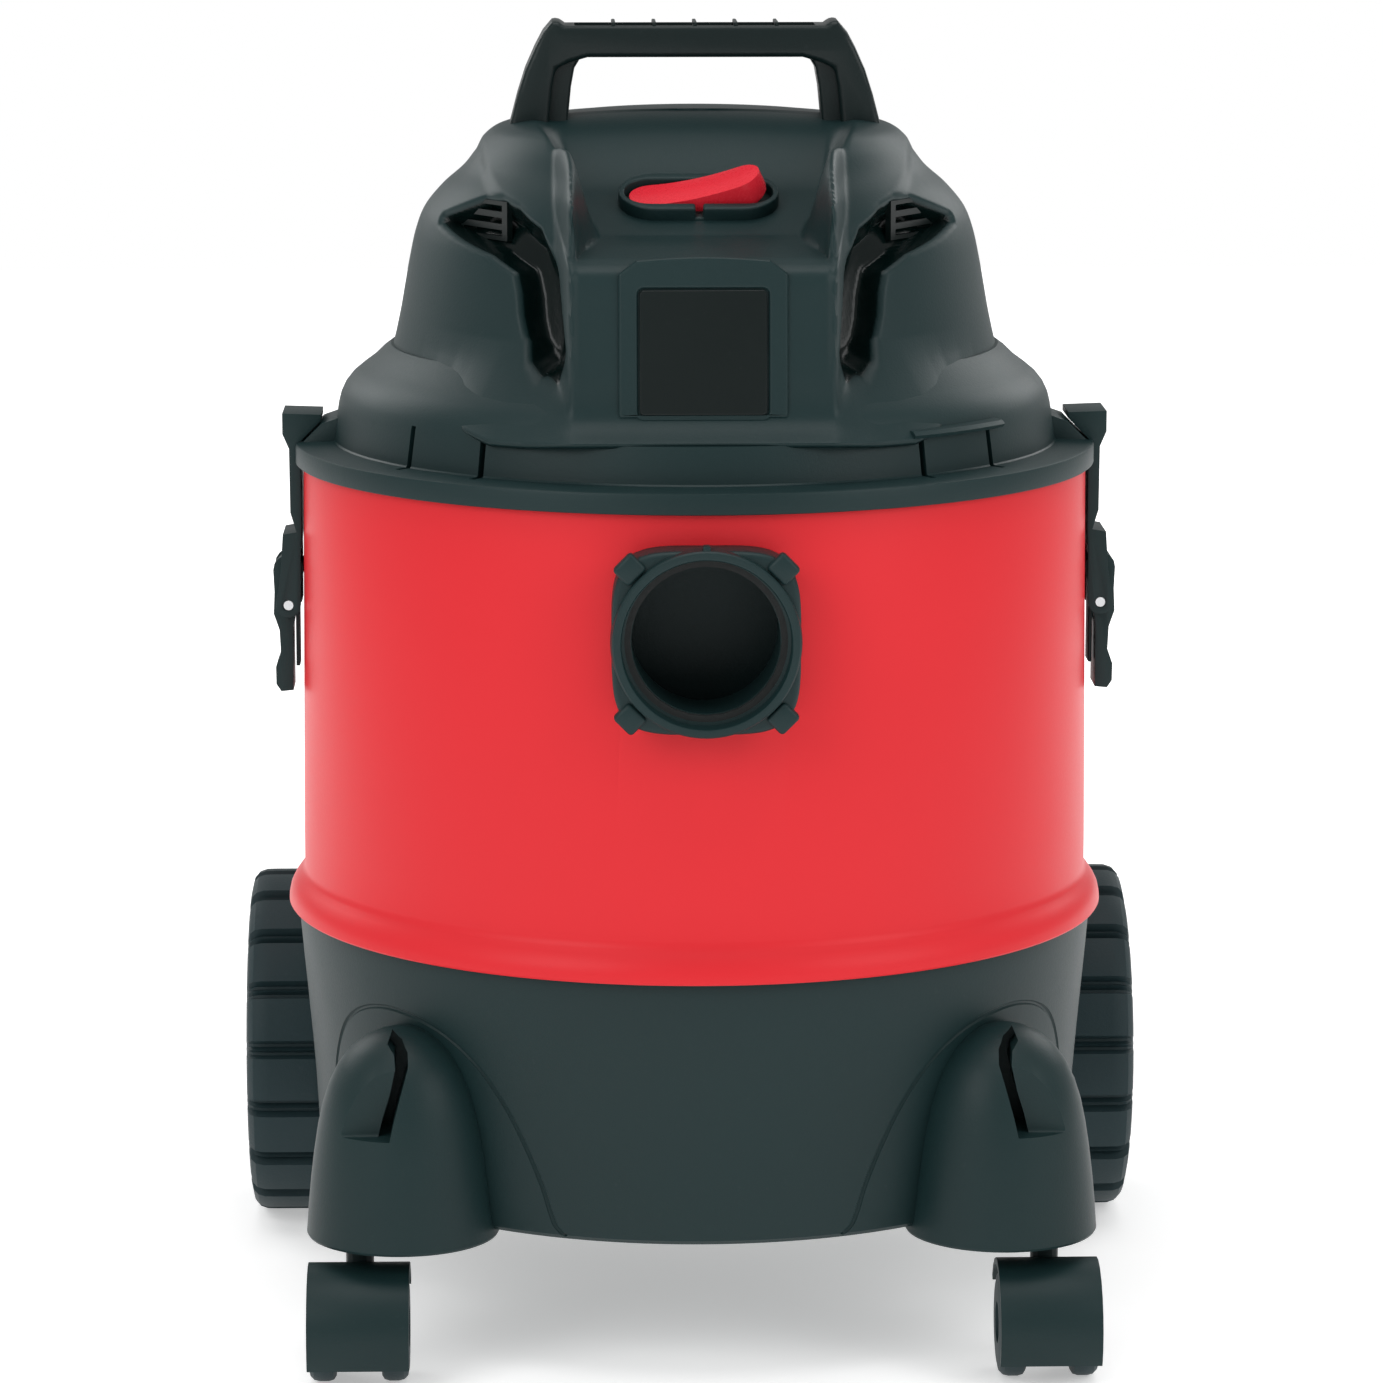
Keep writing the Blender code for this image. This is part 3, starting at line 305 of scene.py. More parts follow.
def rod(radius, length, place, sides=48):
    form = bmesh.new()
    bmesh.ops.create_cone(form, cap_ends=True, segments=sides, radius1=radius, radius2=radius, depth=length,
                          matrix=place)
    return form


def moved(form, matrix):
    bmesh.ops.transform(form, matrix=matrix, verts=form.verts)
    return form


def merged(*forms):
    whole = bmesh.new()
    for form in forms:
        part = bpy.data.meshes.new("part")
        form.to_mesh(part)
        form.free()
        whole.from_mesh(part)
        bpy.data.meshes.remove(part)
    return whole


def carved(form, tool, operation="DIFFERENCE"):
    holders = []
    for name, source in (("stock", form), ("tool", tool)):
        mesh = bpy.data.meshes.new(name)
        source.to_mesh(mesh)
        source.free()
        holder = bpy.data.objects.new(name, mesh)
        bpy.context.scene.collection.objects.link(holder)
        holders.append(holder)
    step = holders[0].modifiers.new("carve", "BOOLEAN")
    step.operation = operation
    step.object = holders[1]
    state = bpy.context.evaluated_depsgraph_get()
    mesh = bpy.data.meshes.new_from_object(holders[0].evaluated_get(state))
    made = bmesh.new()
    made.from_mesh(mesh)
    for holder in holders:
        bpy.data.objects.remove(holder)
    bpy.data.meshes.remove(mesh)
    return made


def eased(form, width, segments=2, limit=40):
    bmesh.ops.remove_doubles(form, verts=form.verts, dist=0.00001)
    bmesh.ops.dissolve_limit(form, angle_limit=math.radians(0.5), verts=form.verts, edges=form.edges)
    sharp = [e for e in form.edges if e.is_manifold and e.calc_face_angle(0) > math.radians(limit)]
    bmesh.ops.bevel(form, geom=sharp, offset=width, segments=segments, profile=0.5, affect="EDGES",
                    material=-1, clamp_overlap=True)
    return form


def fromNode(node):
    form = bmesh.new()
    form.from_mesh(frame["nodes"][node].data)
    bmesh.ops.remove_doubles(form, verts=form.verts, dist=0.00001)
    bmesh.ops.dissolve_limit(form, angle_limit=math.radians(1), verts=form.verts, edges=form.edges)
    return moved(form, drum.inverted())


def settle(name, form, body, slot, nodes=(), sharp=32, coat=None):
    moved(form, drum)
    mesh = bpy.data.meshes.new(name)
    form.to_mesh(mesh)
    form.free()
    mesh.materials.append(coat or coats[slot])
    mesh.shade_smooth()
    mesh.set_sharp_from_angle(angle=math.radians(sharp))
    piece = bpy.data.objects.new(name, mesh)
    bpy.context.scene.collection.objects.link(piece)
    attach(piece, body)
    if nodes:
        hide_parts(*nodes)
    return piece


# every CAD node takes its slot's finish first; detailed pieces replace the outer ones below

for part in frame["record"]["subparts"]:
    target = frame["nodes"][part["node"]]
    target.data.materials.clear()
    target.data.materials.append(coats[part["material_slot"]])


# motor cover: one skin whose rings run from the crown down to the foot

cover = {
    # dome radius, dome height; front line's distance ahead of the axis, its height
    "rows": ((0.0, 0.4868, 0.0, 0.4868), (0.0200, 0.4865, 0.0200, 0.4865),
             (0.0403, 0.4856, 0.0403, 0.4700), (0.0560, 0.4842, 0.0560, 0.4600),
             (0.0700, 0.4820, 0.0705, 0.4510), (0.0800, 0.4790, 0.0830, 0.4450),
             (0.0865, 0.4735, 0.0940, 0.4424), (0.0930, 0.4655, 0.1050, 0.4405),
             (0.1015, 0.4580, 0.1160, 0.4384), (0.1085, 0.4495, 0.1228, 0.4358),
             (0.1122, 0.4405, 0.1262, 0.4312), (0.1148, 0.4290, 0.1275, 0.4190),
             (0.1168, 0.4180, 0.1286, 0.4070), (0.1184, 0.4090, 0.1298, 0.3950),
             (0.1202, 0.4005, 0.1310, 0.3815), (0.1211, 0.3967, 0.1345, 0.3752),
             (0.1219, 0.3936, 0.1413, 0.3700)),
    "ringStep": 0.0013, "frontReach": 80, "frontStep": 0.6, "rearStep": 3.0,
    "panelInner": 0.0500, "panelOuter": 0.0575,
    "flare": ((0, 1.0), (34, 1.0), (39.7, 0.86), (43, 0.62), (46.5, 0.38), (51, 0.17), (57.7, 0.05),
              (64, 0.0)),
    "flareOut": 0.0262, "flareDrop": 0.0240, "flareFrom": 13.3,
    "dishOuter": ((0.010, 0.0660), (0.040, 0.0625), (0.061, 0.0590), (0.070, 0.0560), (0.082, 0.0525),
                  (0.096, 0.0505), (0.115, 0.0495)),
    "dishWall": 0.0125, "deckZ": 0.4440, "deckFront": 0.0850, "deckSlope": 0.4204, "browSlope": 0.17,
    "rib": 0.0534, "ribHalf": 0.0056, "ribRise": 0.0018,
    "capEdge": ((30, 0.1141), (34.3, 0.1101), (48.4, 0.1018), (64.7, 0.0909), (75.5, 0.0863), (92, 0.0850),
                (110, 0.0845), (180, 0.0840)), "capStep": 0.0030,
    "scoop": ((55.5, 0.4590), (69.5, 0.4500), (68.6, 0.4455), (57.3, 0.4403), (46.6, 0.4361), (39.6, 0.4306),
              (38.2, 0.4240), (37.2, 0.4150), (35.6, 0.4070), (33.0, 0.4010), (29.4, 0.3985), (26.2, 0.3995),
              (26.0, 0.4120), (28.6, 0.4340), (34.0, 0.4480), (42.0, 0.4550), (48.4, 0.4580)),
    "scoopDepth": 0.0105, "scoopWall": 0.0062, "wall": 0.0022,
}


def along(table, key):                                    # straight-line reading of a small table
    for (low, first), (high, second) in zip(table, table[1:]):
        if key <= high:
            return blendOf(first, second, min(1.0, max(0.0, (key - low) / (high - low))))
    return table[-1][1]


def smoothRow(rows, share):                               # a Catmull-Rom curve through the rows
    low = min(int(share), len(rows) - 2)
    part = share - low
    before, first, second, after = (rows[min(max(low + step, 0), len(rows) - 1)] for step in (-1, 0, 1, 2))
    return tuple(0.5 * (2 * b + (c - a) * part + (2 * a - 5 * b + 4 * c - d) * part ** 2
                        + (3 * b - a - 3 * c + d) * part ** 3)
                 for a, b, c, d in zip(before, first, second, after))


def insideDepth(outline, u, v):                           # distance into a closed outline, 0 outside
    inside = False
    nearest = 1.0
    for (au, av), (bu, bv) in zip(outline, outline[1:] + outline[:1]):
        if (av > v) != (bv > v) and u < au + (v - av) * (bu - au) / (bv - av):
            inside = not inside
        du, dv = bu - au, bv - av
        share = min(1.0, max(0.0, ((u - au) * du + (v - av) * dv) / (du * du + dv * dv)))
        nearest = min(nearest, math.hypot(u - au - share * du, v - av - share * dv))
    return nearest if inside else 0.0


def makeCover():
    rows = cover["rows"]
    shares = [0.0]                                        # how far along the rows each ring stands
    for low in range(len(rows) - 1):
        a, b = rows[low], rows[low + 1]
        length = max(math.dist(a[:2], b[:2]), math.dist(a[2:], b[2:]))
        count = max(1, round(length / cover["ringStep"]))
        shares += [low + (step + 1) / count for step in range(count)]
    reach = len(rows) - 1
    form = bmesh.new()
    points = [form.verts.new((share / reach, 0, 0)) for share in shares]
    lines = [form.edges.new(pair) for pair in zip(points, points[1:])]
    start = math.radians(-90 - cover["frontReach"])
    moved(form, Matrix.Rotation(start, 4, "Z"))
    front = 2 * cover["frontReach"]
    first = bmesh.ops.spin(form, geom=points + lines, cent=(0, 0, 0), axis=(0, 0, 1),
                           angle=math.radians(front), steps=round(front / cover["frontStep"]))
    bmesh.ops.spin(form, geom=first["geom_last"], cent=(0, 0, 0), axis=(0, 0, 1),
                   angle=math.radians(360 - front), steps=round((360 - front) / cover["rearStep"]))
    bmesh.ops.remove_doubles(form, verts=form.verts, dist=0.0001)
    outline = [(math.radians(turn) * 0.112, height) for turn, height in cover["scoop"]]
    recess = form.verts.layers.float.new("recess")
    for point in form.verts:
        share = reach * math.hypot(point.co.x, point.co.y)
        turn = math.atan2(point.co.x, -point.co.y)        # from straight ahead
        spot, depth = coverPoint(rows, share, turn, outline)
        point.co = spot
        point[recess] = easeStep(0.0, 0.0036, depth)
    bmesh.ops.recalc_face_normals(form, faces=form.faces)
    # the scoops are glossier and are painted darker as shade
    piece = settle("motor_cover_shell", form, "head", "black_plastic", ["motor_cover"], sharp=60,
                   coat=moulded("coverShell", blackTone, 0.46, specular=0.24, glossAndPaintedShadeMark="recess"))
    shell = piece.modifiers.new("wall", "SOLIDIFY")
    shell.thickness = cover["wall"]
    shell.offset = -1


def coverPoint(rows, share, turn, outline):
    radius, height, ahead, frontZ = smoothRow(rows, share)
    x = radius * math.sin(turn)
    y = -radius * math.cos(turn)
    side = abs(x)
    facing = math.cos(turn) > 0
    # step under the handle's cap
    edge = along(cover["capEdge"], abs(math.degrees(turn)))
    cap = easeStep(edge + cover["capStep"], edge, radius)
    domeZ = height + (cap - 0.6) * 0.0022 * easeStep(0.055, 0.080, radius)
    # side scoops
    depth = insideDepth(outline, abs(turn) * 0.112, height) if facing else 0.0
    sink = cover["scoopDepth"] * easeStep(0.0, cover["scoopWall"], depth)
    x -= math.sin(turn) * sink
    y += math.cos(turn) * sink
    domeZ -= sink * 0.35
    if not facing:
        return Vector((x, y, domeZ)), depth
    mask = 1 - easeStep(cover["panelInner"], cover["panelOuter"], side)
    forward = mask * easeStep(0.066, 0.092, radius)
    lead = blendOf(-y, ahead, forward)
    # dish and deck between the ribs
    dishOuter = along(cover["dishOuter"], lead)
    wall = cover["dishWall"] * easeStep(0.120, 0.085, lead) + 0.0010
    if lead < cover["deckFront"]:
        deck = cover["deckZ"] + (cover["deckFront"] - lead) * cover["deckSlope"]
    else:
        deck = cover["deckZ"] - (lead - cover["deckFront"]) * cover["browSlope"]
    dish = (1 - easeStep(dishOuter - wall, dishOuter, side)) * easeStep(-0.012, 0.052, lead)
    onPanel = easeStep(0.116, 0.121, ahead)
    z = blendOf(blendOf(domeZ, deck, dish), blendOf(domeZ, frontZ, mask), onPanel)
    # bead along the panel's edge
    bead = max(0.0, 1 - ((side - cover["rib"]) / cover["ribHalf"]) ** 2) * easeStep(0.3900, 0.4050, frontZ)
    bead *= easeStep(0.100, 0.120, lead) * cover["ribRise"]
    spot = Vector((x, -lead - bead, z))
    # foot flaring out over the lid between the panel and the dome's side
    low = max(0.0, (share - cover["flareFrom"]) / (len(rows) - 1 - cover["flareFrom"]))
    flare = low * along(cover["flare"], abs(math.degrees(turn))) * (1 - mask)
    spot += Vector((math.sin(turn), -math.cos(turn), 0)) * (cover["flareOut"] * flare)
    spot.z -= cover["flareDrop"] * flare
    return spot, depth


makeCover()
print("cover made")

sides = (("left", -1), ("right", 1))


# drum

drumSize = {
    "outside": ((0.1570, 0.3490), (0.1582, 0.3484), (0.1586, 0.3470), (0.1600, 0.1930), (0.1600, 0.1802),
                (0.1603, 0.1784), (0.1612, 0.1767), (0.1628, 0.1748), (0.1645, 0.1724), (0.1658, 0.1697),
                (0.1664, 0.1668), (0.1665, 0.1648), (0.1660, 0.1641), (0.1648, 0.1640), (0.1640, 0.1648),
                (0.1632, 0.1685), (0.1610, 0.1712), (0.1425, 0.1722), (0.1410, 0.0780), (0.1385, 0.0715),
                (0.1335, 0.0700), (0.0, 0.0700)),
    "inside": ((0.0, 0.0725), (0.1330, 0.0725), (0.1375, 0.0750), (0.1395, 0.0800), (0.1400, 0.1740),
               (0.1560, 0.1752), (0.1575, 0.1770), (0.1575, 0.1930), (0.1560, 0.3484)),
    "steps": 200, "inletHole": 0.0313, "inletZ": 0.2985,
}


def makeDrum():
    form = spun(drumSize["outside"] + drumSize["inside"], drumSize["steps"])
    hole = rod(drumSize["inletHole"], 0.06, Matrix.Translation((0, -0.155, drumSize["inletZ"]))
               @ Matrix.Rotation(quarter, 4, "X"), 96)
    settle("tank_body", carved(form, hole), "chassis", "red_plastic", ["tank"], sharp=28)


# base with its two caster pods, the grooves round them and the axle arms

baseSize = {
    "side": ((0.1600, 0.1695), (0.1612, 0.1690), (0.1620, 0.1660), (0.1620, 0.1560), (0.1608, 0.1420),
             (0.1592, 0.1250), (0.1577, 0.1080), (0.1565, 0.0930), (0.1558, 0.0800), (0.1553, 0.0700),
             (0.1546, 0.0630), (0.1534, 0.0592), (0.1512, 0.0573), (0.1490, 0.0570)),
    "hollow": ((0.1590, 0.1800), (0.1590, 0.1560), (0.1562, 0.1250), (0.1535, 0.0930), (0.1524, 0.0680),
               (0.1500, 0.0610), (0.1470, 0.0600), (0.0730, 0.0600), (0.0730, 0.0697), (0.0700, 0.0697),
               (0.0700, 0.0600), (0.0, 0.0600), (0.0, 0.1800)),
    "steps": 200,
    "podAt": (0.1180, -0.1170, 0.0540), "podRadius": 0.0380, "podRise": 0.0830,
    "podShape": ((0.0, 1.0), (0.12, 0.995), (0.25, 0.978), (0.40, 0.945), (0.54, 0.893), (0.66, 0.820),
                 (0.755, 0.730), (0.825, 0.630), (0.875, 0.520), (0.915, 0.400), (0.950, 0.270),
                 (0.978, 0.140), (0.996, 0.030), (1.0, 0.012), (0.985, 0.0), (0.0, 0.0)),
    "arch": ((69.0, 0.0960), (67.2, 0.1100), (63.2, 0.1260), (58.0, 0.1360), (51.5, 0.1407), (45.0, 0.1400),
             (39.0, 0.1350), (33.6, 0.1245), (29.4, 0.1100), (26.2, 0.0935), (23.8, 0.0780), (22.2, 0.0640),
             (20.6, 0.0585)),
    "grip": ((0.1222, 0.0985), (0.1205, 0.1060), (0.1172, 0.1180), (0.1150, 0.1255), (0.1152, 0.1305),
             (0.1175, 0.1345), (0.1215, 0.1366), (0.1270, 0.1370), (0.1560, 0.1330), (0.1560, 0.0985)),
    "slot": ((0.1222, 0.0985), (0.1205, 0.1060), (0.1172, 0.1180), (0.1150, 0.1255), (0.1152, 0.1305),
             (0.1175, 0.1345), (0.1215, 0.1366), (0.1232, 0.1330), (0.1205, 0.1298), (0.1200, 0.1250),
             (0.1222, 0.1150), (0.1250, 0.1060), (0.1268, 0.0985)),
    "gripBack": -0.1400, "slotBack": -0.1180, "gripFront": -0.20, "gripEdge": 0.0016, "podSteps": 80,
    "arm": (0.062, 0.040, 0.0385), "armX": 0.116, "armZ": 0.0768, "armEdge": 0.004,
    "archSteps": 60, "archLine": 0.0011, "archLift": 0.0002,
    "stemAt": (0.1350, -0.1230, 0.0710), "stemHole": 0.0062, "stemDeep": 0.036,
    "axleHole": 0.0064, "axleX": 0.16, "axleLong": 0.10, "wheelAt": (0.1695, 0.1180, 0.0740),
}


def tubeAlong(points, radius):
    curve = bpy.data.curves.new("path", "CURVE")
    curve.dimensions = "3D"
    curve.bevel_depth = radius
    curve.bevel_resolution = 2
    curve.use_fill_caps = True
    line = curve.splines.new("POLY")
    line.points.add(len(points) - 1)
    for point, spot in zip(line.points, points):
        point.co = (*spot, 1.0)
    holder = bpy.data.objects.new("path", curve)
    bpy.context.scene.collection.objects.link(holder)
    state = bpy.context.evaluated_depsgraph_get()
    mesh = bpy.data.meshes.new_from_object(holder.evaluated_get(state))
    bpy.data.objects.remove(holder)
    form = bmesh.new()
    form.from_mesh(mesh)
    bpy.data.meshes.remove(mesh)
    tidyForm(form)
    return form


def smoothPath(points, count):
    reach = len(points) - 1
    return [smoothRow(points, reach * step / count) for step in range(count + 1)]


def makeBase():
    size = baseSize
    form = spun(((0.0, 0.1695),) + size["side"] + ((0.0, 0.0570),), size["steps"])
    sideByHeight = [(height, radius) for radius, height in reversed(size["side"])]
    podX, podY, podZ = size["podAt"]
    wheelY, wheelZ = size["wheelAt"][1:]
    stemX, stemY, stemZ = size["stemAt"]
    podProfile = [(radius * size["podRadius"], height * size["podRise"])
                  for radius, height in size["podShape"]]
    for _, side in sides:
        pod = moved(spun(podProfile, size["podSteps"]), Matrix.Translation((side * podX, podY, podZ)))
        grip = plate([(side * x, z) for x, z in size["grip"]], size["gripFront"], size["gripBack"], "XZ")
        slot = plate([(side * x, z) for x, z in size["slot"]], size["gripFront"], size["slotBack"], "XZ")
        pod = carved(carved(pod, eased(grip, size["gripEdge"], 3)), slot)
        arm = eased(cuboid(size["arm"], (side * size["armX"], wheelY, size["armZ"])), size["armEdge"], 3)
        form = carved(carved(form, pod, "UNION"), arm, "UNION")
    form = carved(form, spun(size["hollow"], size["steps"]))
    for _, side in sides:
        path = []
        for turn, height in smoothPath(size["arch"], size["archSteps"]):
            radius = along(sideByHeight, height) + size["archLift"]
            angle = math.radians(turn)
            path.append((side * radius * math.sin(angle), -radius * math.cos(angle), height))
        form = carved(form, tubeAlong(path, size["archLine"]))
        stemPlace = Matrix.Translation((side * stemX, stemY, stemZ))
        axlePlace = (Matrix.Translation((side * size["axleX"], wheelY, wheelZ))
                     @ Matrix.Rotation(quarter, 4, "Y"))
        form = carved(form, rod(size["stemHole"], size["stemDeep"], stemPlace, 32))
        form = carved(form, rod(size["axleHole"], size["axleLong"], axlePlace, 32))
    settle("base_shell", form, "chassis", "black_plastic", ["base_chassis"], sharp=30)


# lid under the motor cover

lidSize = {
    "profile": ((0.1228, 0.3930), (0.1262, 0.3905), (0.1300, 0.3868), (0.1345, 0.3835), (0.1385, 0.3802),
                (0.1412, 0.3768), (0.1430, 0.3730), (0.1440, 0.3690), (0.1462, 0.3550), (0.1468, 0.3544),
                (0.1606, 0.3540), (0.1616, 0.3535), (0.1620, 0.3524), (0.1620, 0.3458), (0.1616, 0.3455),
                (0.1598, 0.3455), (0.1594, 0.3460), (0.1594, 0.3514), (0.0580, 0.3514), (0.0580, 0.3540),
                (0.1415, 0.3540), (0.1412, 0.3690), (0.1200, 0.3905), (0.1200, 0.3930)),
    "steps": 200, "gap": (0.1166, 0.14, 0.0508), "gapAt": (0, -0.10, 0.3946),
    "slits": (35.8, 51.0), "slit": (0.016, 0.0027, 0.0175), "slitRadius": 0.1440, "slitZ": 0.3618,
    "shelf": ((0.1405, 0.3728), (0.1468, 0.3718), (0.1482, 0.3704), (0.1472, 0.3690), (0.1425, 0.3684)),
    "shelfTurns": (33.5, 53.5), "shelfSteps": 24,
    "lugIn": 0.142, "lugFoot": 0.1587, "lugZ": 0.3535, "lugRise": 0.0080, "lugHalf": 0.0150,
    "lugEdge": 0.0006, "notch": (0.02, 0.031, 0.05), "notchZ": 0.355,
}


def makeLid():
    size = lidSize
    inner, foot, low, rise = size["lugIn"], size["lugFoot"], size["lugZ"], size["lugRise"]
    lugOutline = ((inner, low - 0.0005), (foot, low - 0.0005), (foot, low), (foot - rise, low + rise),
                  (inner, low + rise + 0.003))
    form = carved(spun(size["profile"], size["steps"]), cuboid(size["gap"], size["gapAt"]))
    for _, side in sides:
        lug = plate([(side * x, z) for x, z in lugOutline], -size["lugHalf"], size["lugHalf"], "XZ")
        notch = cuboid(size["notch"], (side * (foot + size["notch"][0] / 2), 0, size["notchZ"]))
        form = carved(carved(form, eased(lug, size["lugEdge"]), "UNION"), notch)
        for turn in size["slits"]:
            place = Matrix.Rotation(side * math.radians(turn) - quarter, 4, "Z")
            place = place @ Matrix.Translation((size["slitRadius"], 0, size["slitZ"]))
            form = carved(form, moved(cuboid(size["slit"]), place))
        first, last = (math.radians(side * turn - 90) for turn in size["shelfTurns"])
        shelf = bmesh.new()
        face = shelf.faces.new([shelf.verts.new((radius, 0, height)) for radius, height in size["shelf"]])
        moved(shelf, Matrix.Rotation(first, 4, "Z"))
        bmesh.ops.spin(shelf, geom=[face], cent=(0, 0, 0), axis=(0, 0, 1), angle=last - first,
                       steps=size["shelfSteps"])
        tidyForm(shelf)
        form = merged(form, shelf)
    settle("lid_shell", form, "head", "black_plastic", ["head_base"], sharp=30)


# carrying handle

handleSize = {
    "outer": ((0.0765, 0.4735), (0.0738, 0.4830), (0.0712, 0.4930), (0.0680, 0.5030), (0.0640, 0.5120),
              (0.0608, 0.5180), (0.0572, 0.5222), (0.0550, 0.5228), (0.0520, 0.5206)),
    "inner": ((0.0430, 0.5080), (0.0462, 0.5068), (0.0482, 0.5035), (0.0496, 0.4960), (0.0518, 0.4735)),
    "underBar": ((0.0430, 0.5080), (0.0500, 0.5060)), "webTop": (0.0520, 0.5180),
    "half": 0.0130, "edge": 0.0022, "webHalf": 0.0085, "webEdge": 0.0016, "webIn": 0.0075, "footZ": 0.4770,
    "pocket": (0.0148, 0.0205, 0.0120), "pocketEdge": 0.0010, "pocketZ": 0.5175, "pockets": 6,
    "pitch": 0.0163,
    "rib": (0.0015, 0.0215, 0.0120), "ribEdge": 0.0003, "ribZ": 0.5160,
}


def bothSides(outline, inside):                           # an arch from its right outer and right inner line
    outline, inside = list(outline), list(inside)
    return (outline + [(-x, z) for x, z in reversed(outline)] + [(-x, z) for x, z in reversed(inside)]
            + inside)


def makeHandle():
    size = handleSize
    legs = tuple((x + size["webIn"], z) for x, z in size["inner"][2:])
    band = bothSides(size["outer"], size["underBar"] + legs)
    web = bothSides(size["outer"][:6] + (size["webTop"],), size["inner"])
    form = eased(plate(band, -size["half"], size["half"], "XZ"), size["edge"], 3)
    web = eased(plate(web, -size["webHalf"], size["webHalf"], "XZ"), size["webEdge"], 3)
    form = carved(form, web, "UNION")
    count = size["pockets"]
    for step in range(count):
        place = ((step - (count - 1) / 2) * size["pitch"], 0, size["pocketZ"])
        form = carved(form, eased(cuboid(size["pocket"], place), size["pocketEdge"]))
    ribs = []
    for step in range(count - 1):
        place = ((step - (count - 2) / 2) * size["pitch"], 0, size["ribZ"])
        ribs.append(eased(cuboid(size["rib"], place), size["ribEdge"], 1))
    form = merged(form, *ribs)
    bmesh.ops.bisect_plane(form, geom=form.verts[:] + form.edges[:] + form.faces[:],
                           plane_co=(0, 0, size["footZ"]), plane_no=(0, 0, -1), clear_outer=True)
    bmesh.ops.holes_fill(form, edges=[e for e in form.edges if e.is_boundary])
    settle("handle_grip", form, "head", "deep_black_plastic", ["carry_handle"], sharp=30)


# switch, badge and its frame

switchSize = {
    "y": -0.0600, "z": 0.4545, "tilt": math.radians(22.8), "throw": math.radians(24), "lift": 0.0003,
    "bezel": (0.0630, 0.0300), "bezelFoot": -0.0030, "bezelTop": 0.0050, "bezelEdge": 0.0009,
    "opening": (0.0584, 0.0204), "notch": (0.0030, 0.0080, 0.0060), "notchAt": (0, -0.0135, 0.0036),
    "wellTop": 0.0006, "rocker": (0.0544, 0.0166), "rockerEdge": 0.0008, "rockerLow": 0.0026,
    "rockerRise": 0.0132, "rockerBend": 1.9,
    "underside": ((0.0200, 0.0010), (0.0030, -0.0060), (-0.0030, -0.0060), (-0.0272, -0.0030)),
}


def stadium(length, width, count=14):
    reach = length / 2 - width / 2
    right = arcPoints(width / 2, -90, 90, count, (reach, 0))
    return right + arcPoints(width / 2, 90, 270, count, (-reach, 0))


def onDeck(form, lift=0.0):                               # from flat to the sloped deck
    size = switchSize
    return moved(form, Matrix.Translation((0, size["y"], size["z"])) @ Matrix.Rotation(size["tilt"], 4, "X")
                 @ Matrix.Translation((0, 0, lift)))


def makeSwitch():
    size = switchSize
    bezel = carved(plate(stadium(*size["bezel"]), size["bezelFoot"], size["bezelTop"]),
                   plate(stadium(*size["opening"]), -0.02, 0.02))
    bezel = eased(carved(bezel, cuboid(size["notch"], size["notchAt"])), size["bezelEdge"], 3)
    bezel = onDeck(bezel, size["lift"])
    settle("switch_surround", bezel, "head", "black_plastic", ["switch_bezel"], sharp=30)
    well = plate(stadium(*size["opening"]), size["bezelFoot"], size["wellTop"])
    settle("switch_well", onDeck(well), "head", "deep_black_plastic")
    half = size["rocker"][0] / 2
    top = []
    for step in range(13):
        share = step / 14
        rise = size["rockerRise"] * share ** size["rockerBend"]
        top.append((-half + 2 * half * share, size["rockerLow"] + rise))
    rocker = plate(top + arcPoints(half, 31, 14, 5) + list(size["underside"]), -0.02, 0.02, "XZ")
    for roll in (0, -size["throw"]):                      # clear of the opening at rest and pressed
        plan = moved(plate(stadium(*size["rocker"]), -0.03, 0.04), Matrix.Rotation(roll, 4, "Y"))
        rocker = carved(rocker, plan, "INTERSECT")
    rocker = onDeck(eased(rocker, size["rockerEdge"], 3, 25), size["lift"])
    settle("rocker_cap", rocker, "rocker", "rocker_red_plastic", ["switch_rocker"], sharp=30)


badgeSize = {
    "lean": math.atan2(0.0047, 0.0535), "y": -0.1290, "z": 0.4035, "half": 0.0243, "tall": 0.0238,
    "corner": 0.0016, "back": -0.0020, "front": 0.0010, "edge": 0.0005, "frameBack": -0.0014,
    "frameFront": 0.0045, "frameEdge": 0.0011, "frameHalf": 0.0325, "frameFoot": -0.0250,
    "shoulder": 0.0300, "archHalf": 0.0255, "archFoot": 0.0352, "archRise": 0.0013, "archSteps": 12,
    "gap": 0.0007,
}


def roundedRect(halfX, halfZ, corner, count=4):
    points = []
    for turn, (signX, signZ) in enumerate(((1, 1), (-1, 1), (-1, -1), (1, -1))):
        points += arcPoints(corner, turn * 90, turn * 90 + 90, count,
                            (signX * (halfX - corner), signZ * (halfZ - corner)))
    return points


def makeBadge():
    size = badgeSize
    place = Matrix.Translation((0, size["y"], size["z"])) @ Matrix.Rotation(-size["lean"], 4, "X")
    board = plate(roundedRect(size["half"], size["tall"], size["corner"]), size["back"], size["front"], "XZ")
    board = moved(eased(board, size["edge"], 3), place)
    settle("badge_panel", board, "head", "gloss_black_plastic", ["badge_plate"], sharp=12)
    wide, foot, reach = size["frameHalf"], size["frameFoot"], size["archHalf"]
    outline = [(-wide, foot), (wide, foot), (wide, size["shoulder"])]
    for step in range(size["archSteps"] + 1):
        share = step / size["archSteps"]
        rise = size["archRise"] * math.sin(math.pi * share)
        outline.append((reach - 2 * reach * share, size["archFoot"] + rise))
    outline.append((-wide, size["shoulder"]))
    gap = size["gap"]
    window = roundedRect(size["half"] + gap, size["tall"] + gap, size["corner"] + 0.0006)
    surround = carved(plate(outline, size["frameBack"], size["frameFront"], "XZ"),
                      plate(window, -0.01, 0.01, "XZ"))
    surround = moved(eased(surround, size["frameEdge"], 3), place)
    settle("badge_frame", surround, "head", "black_plastic", sharp=12)


# hose inlet

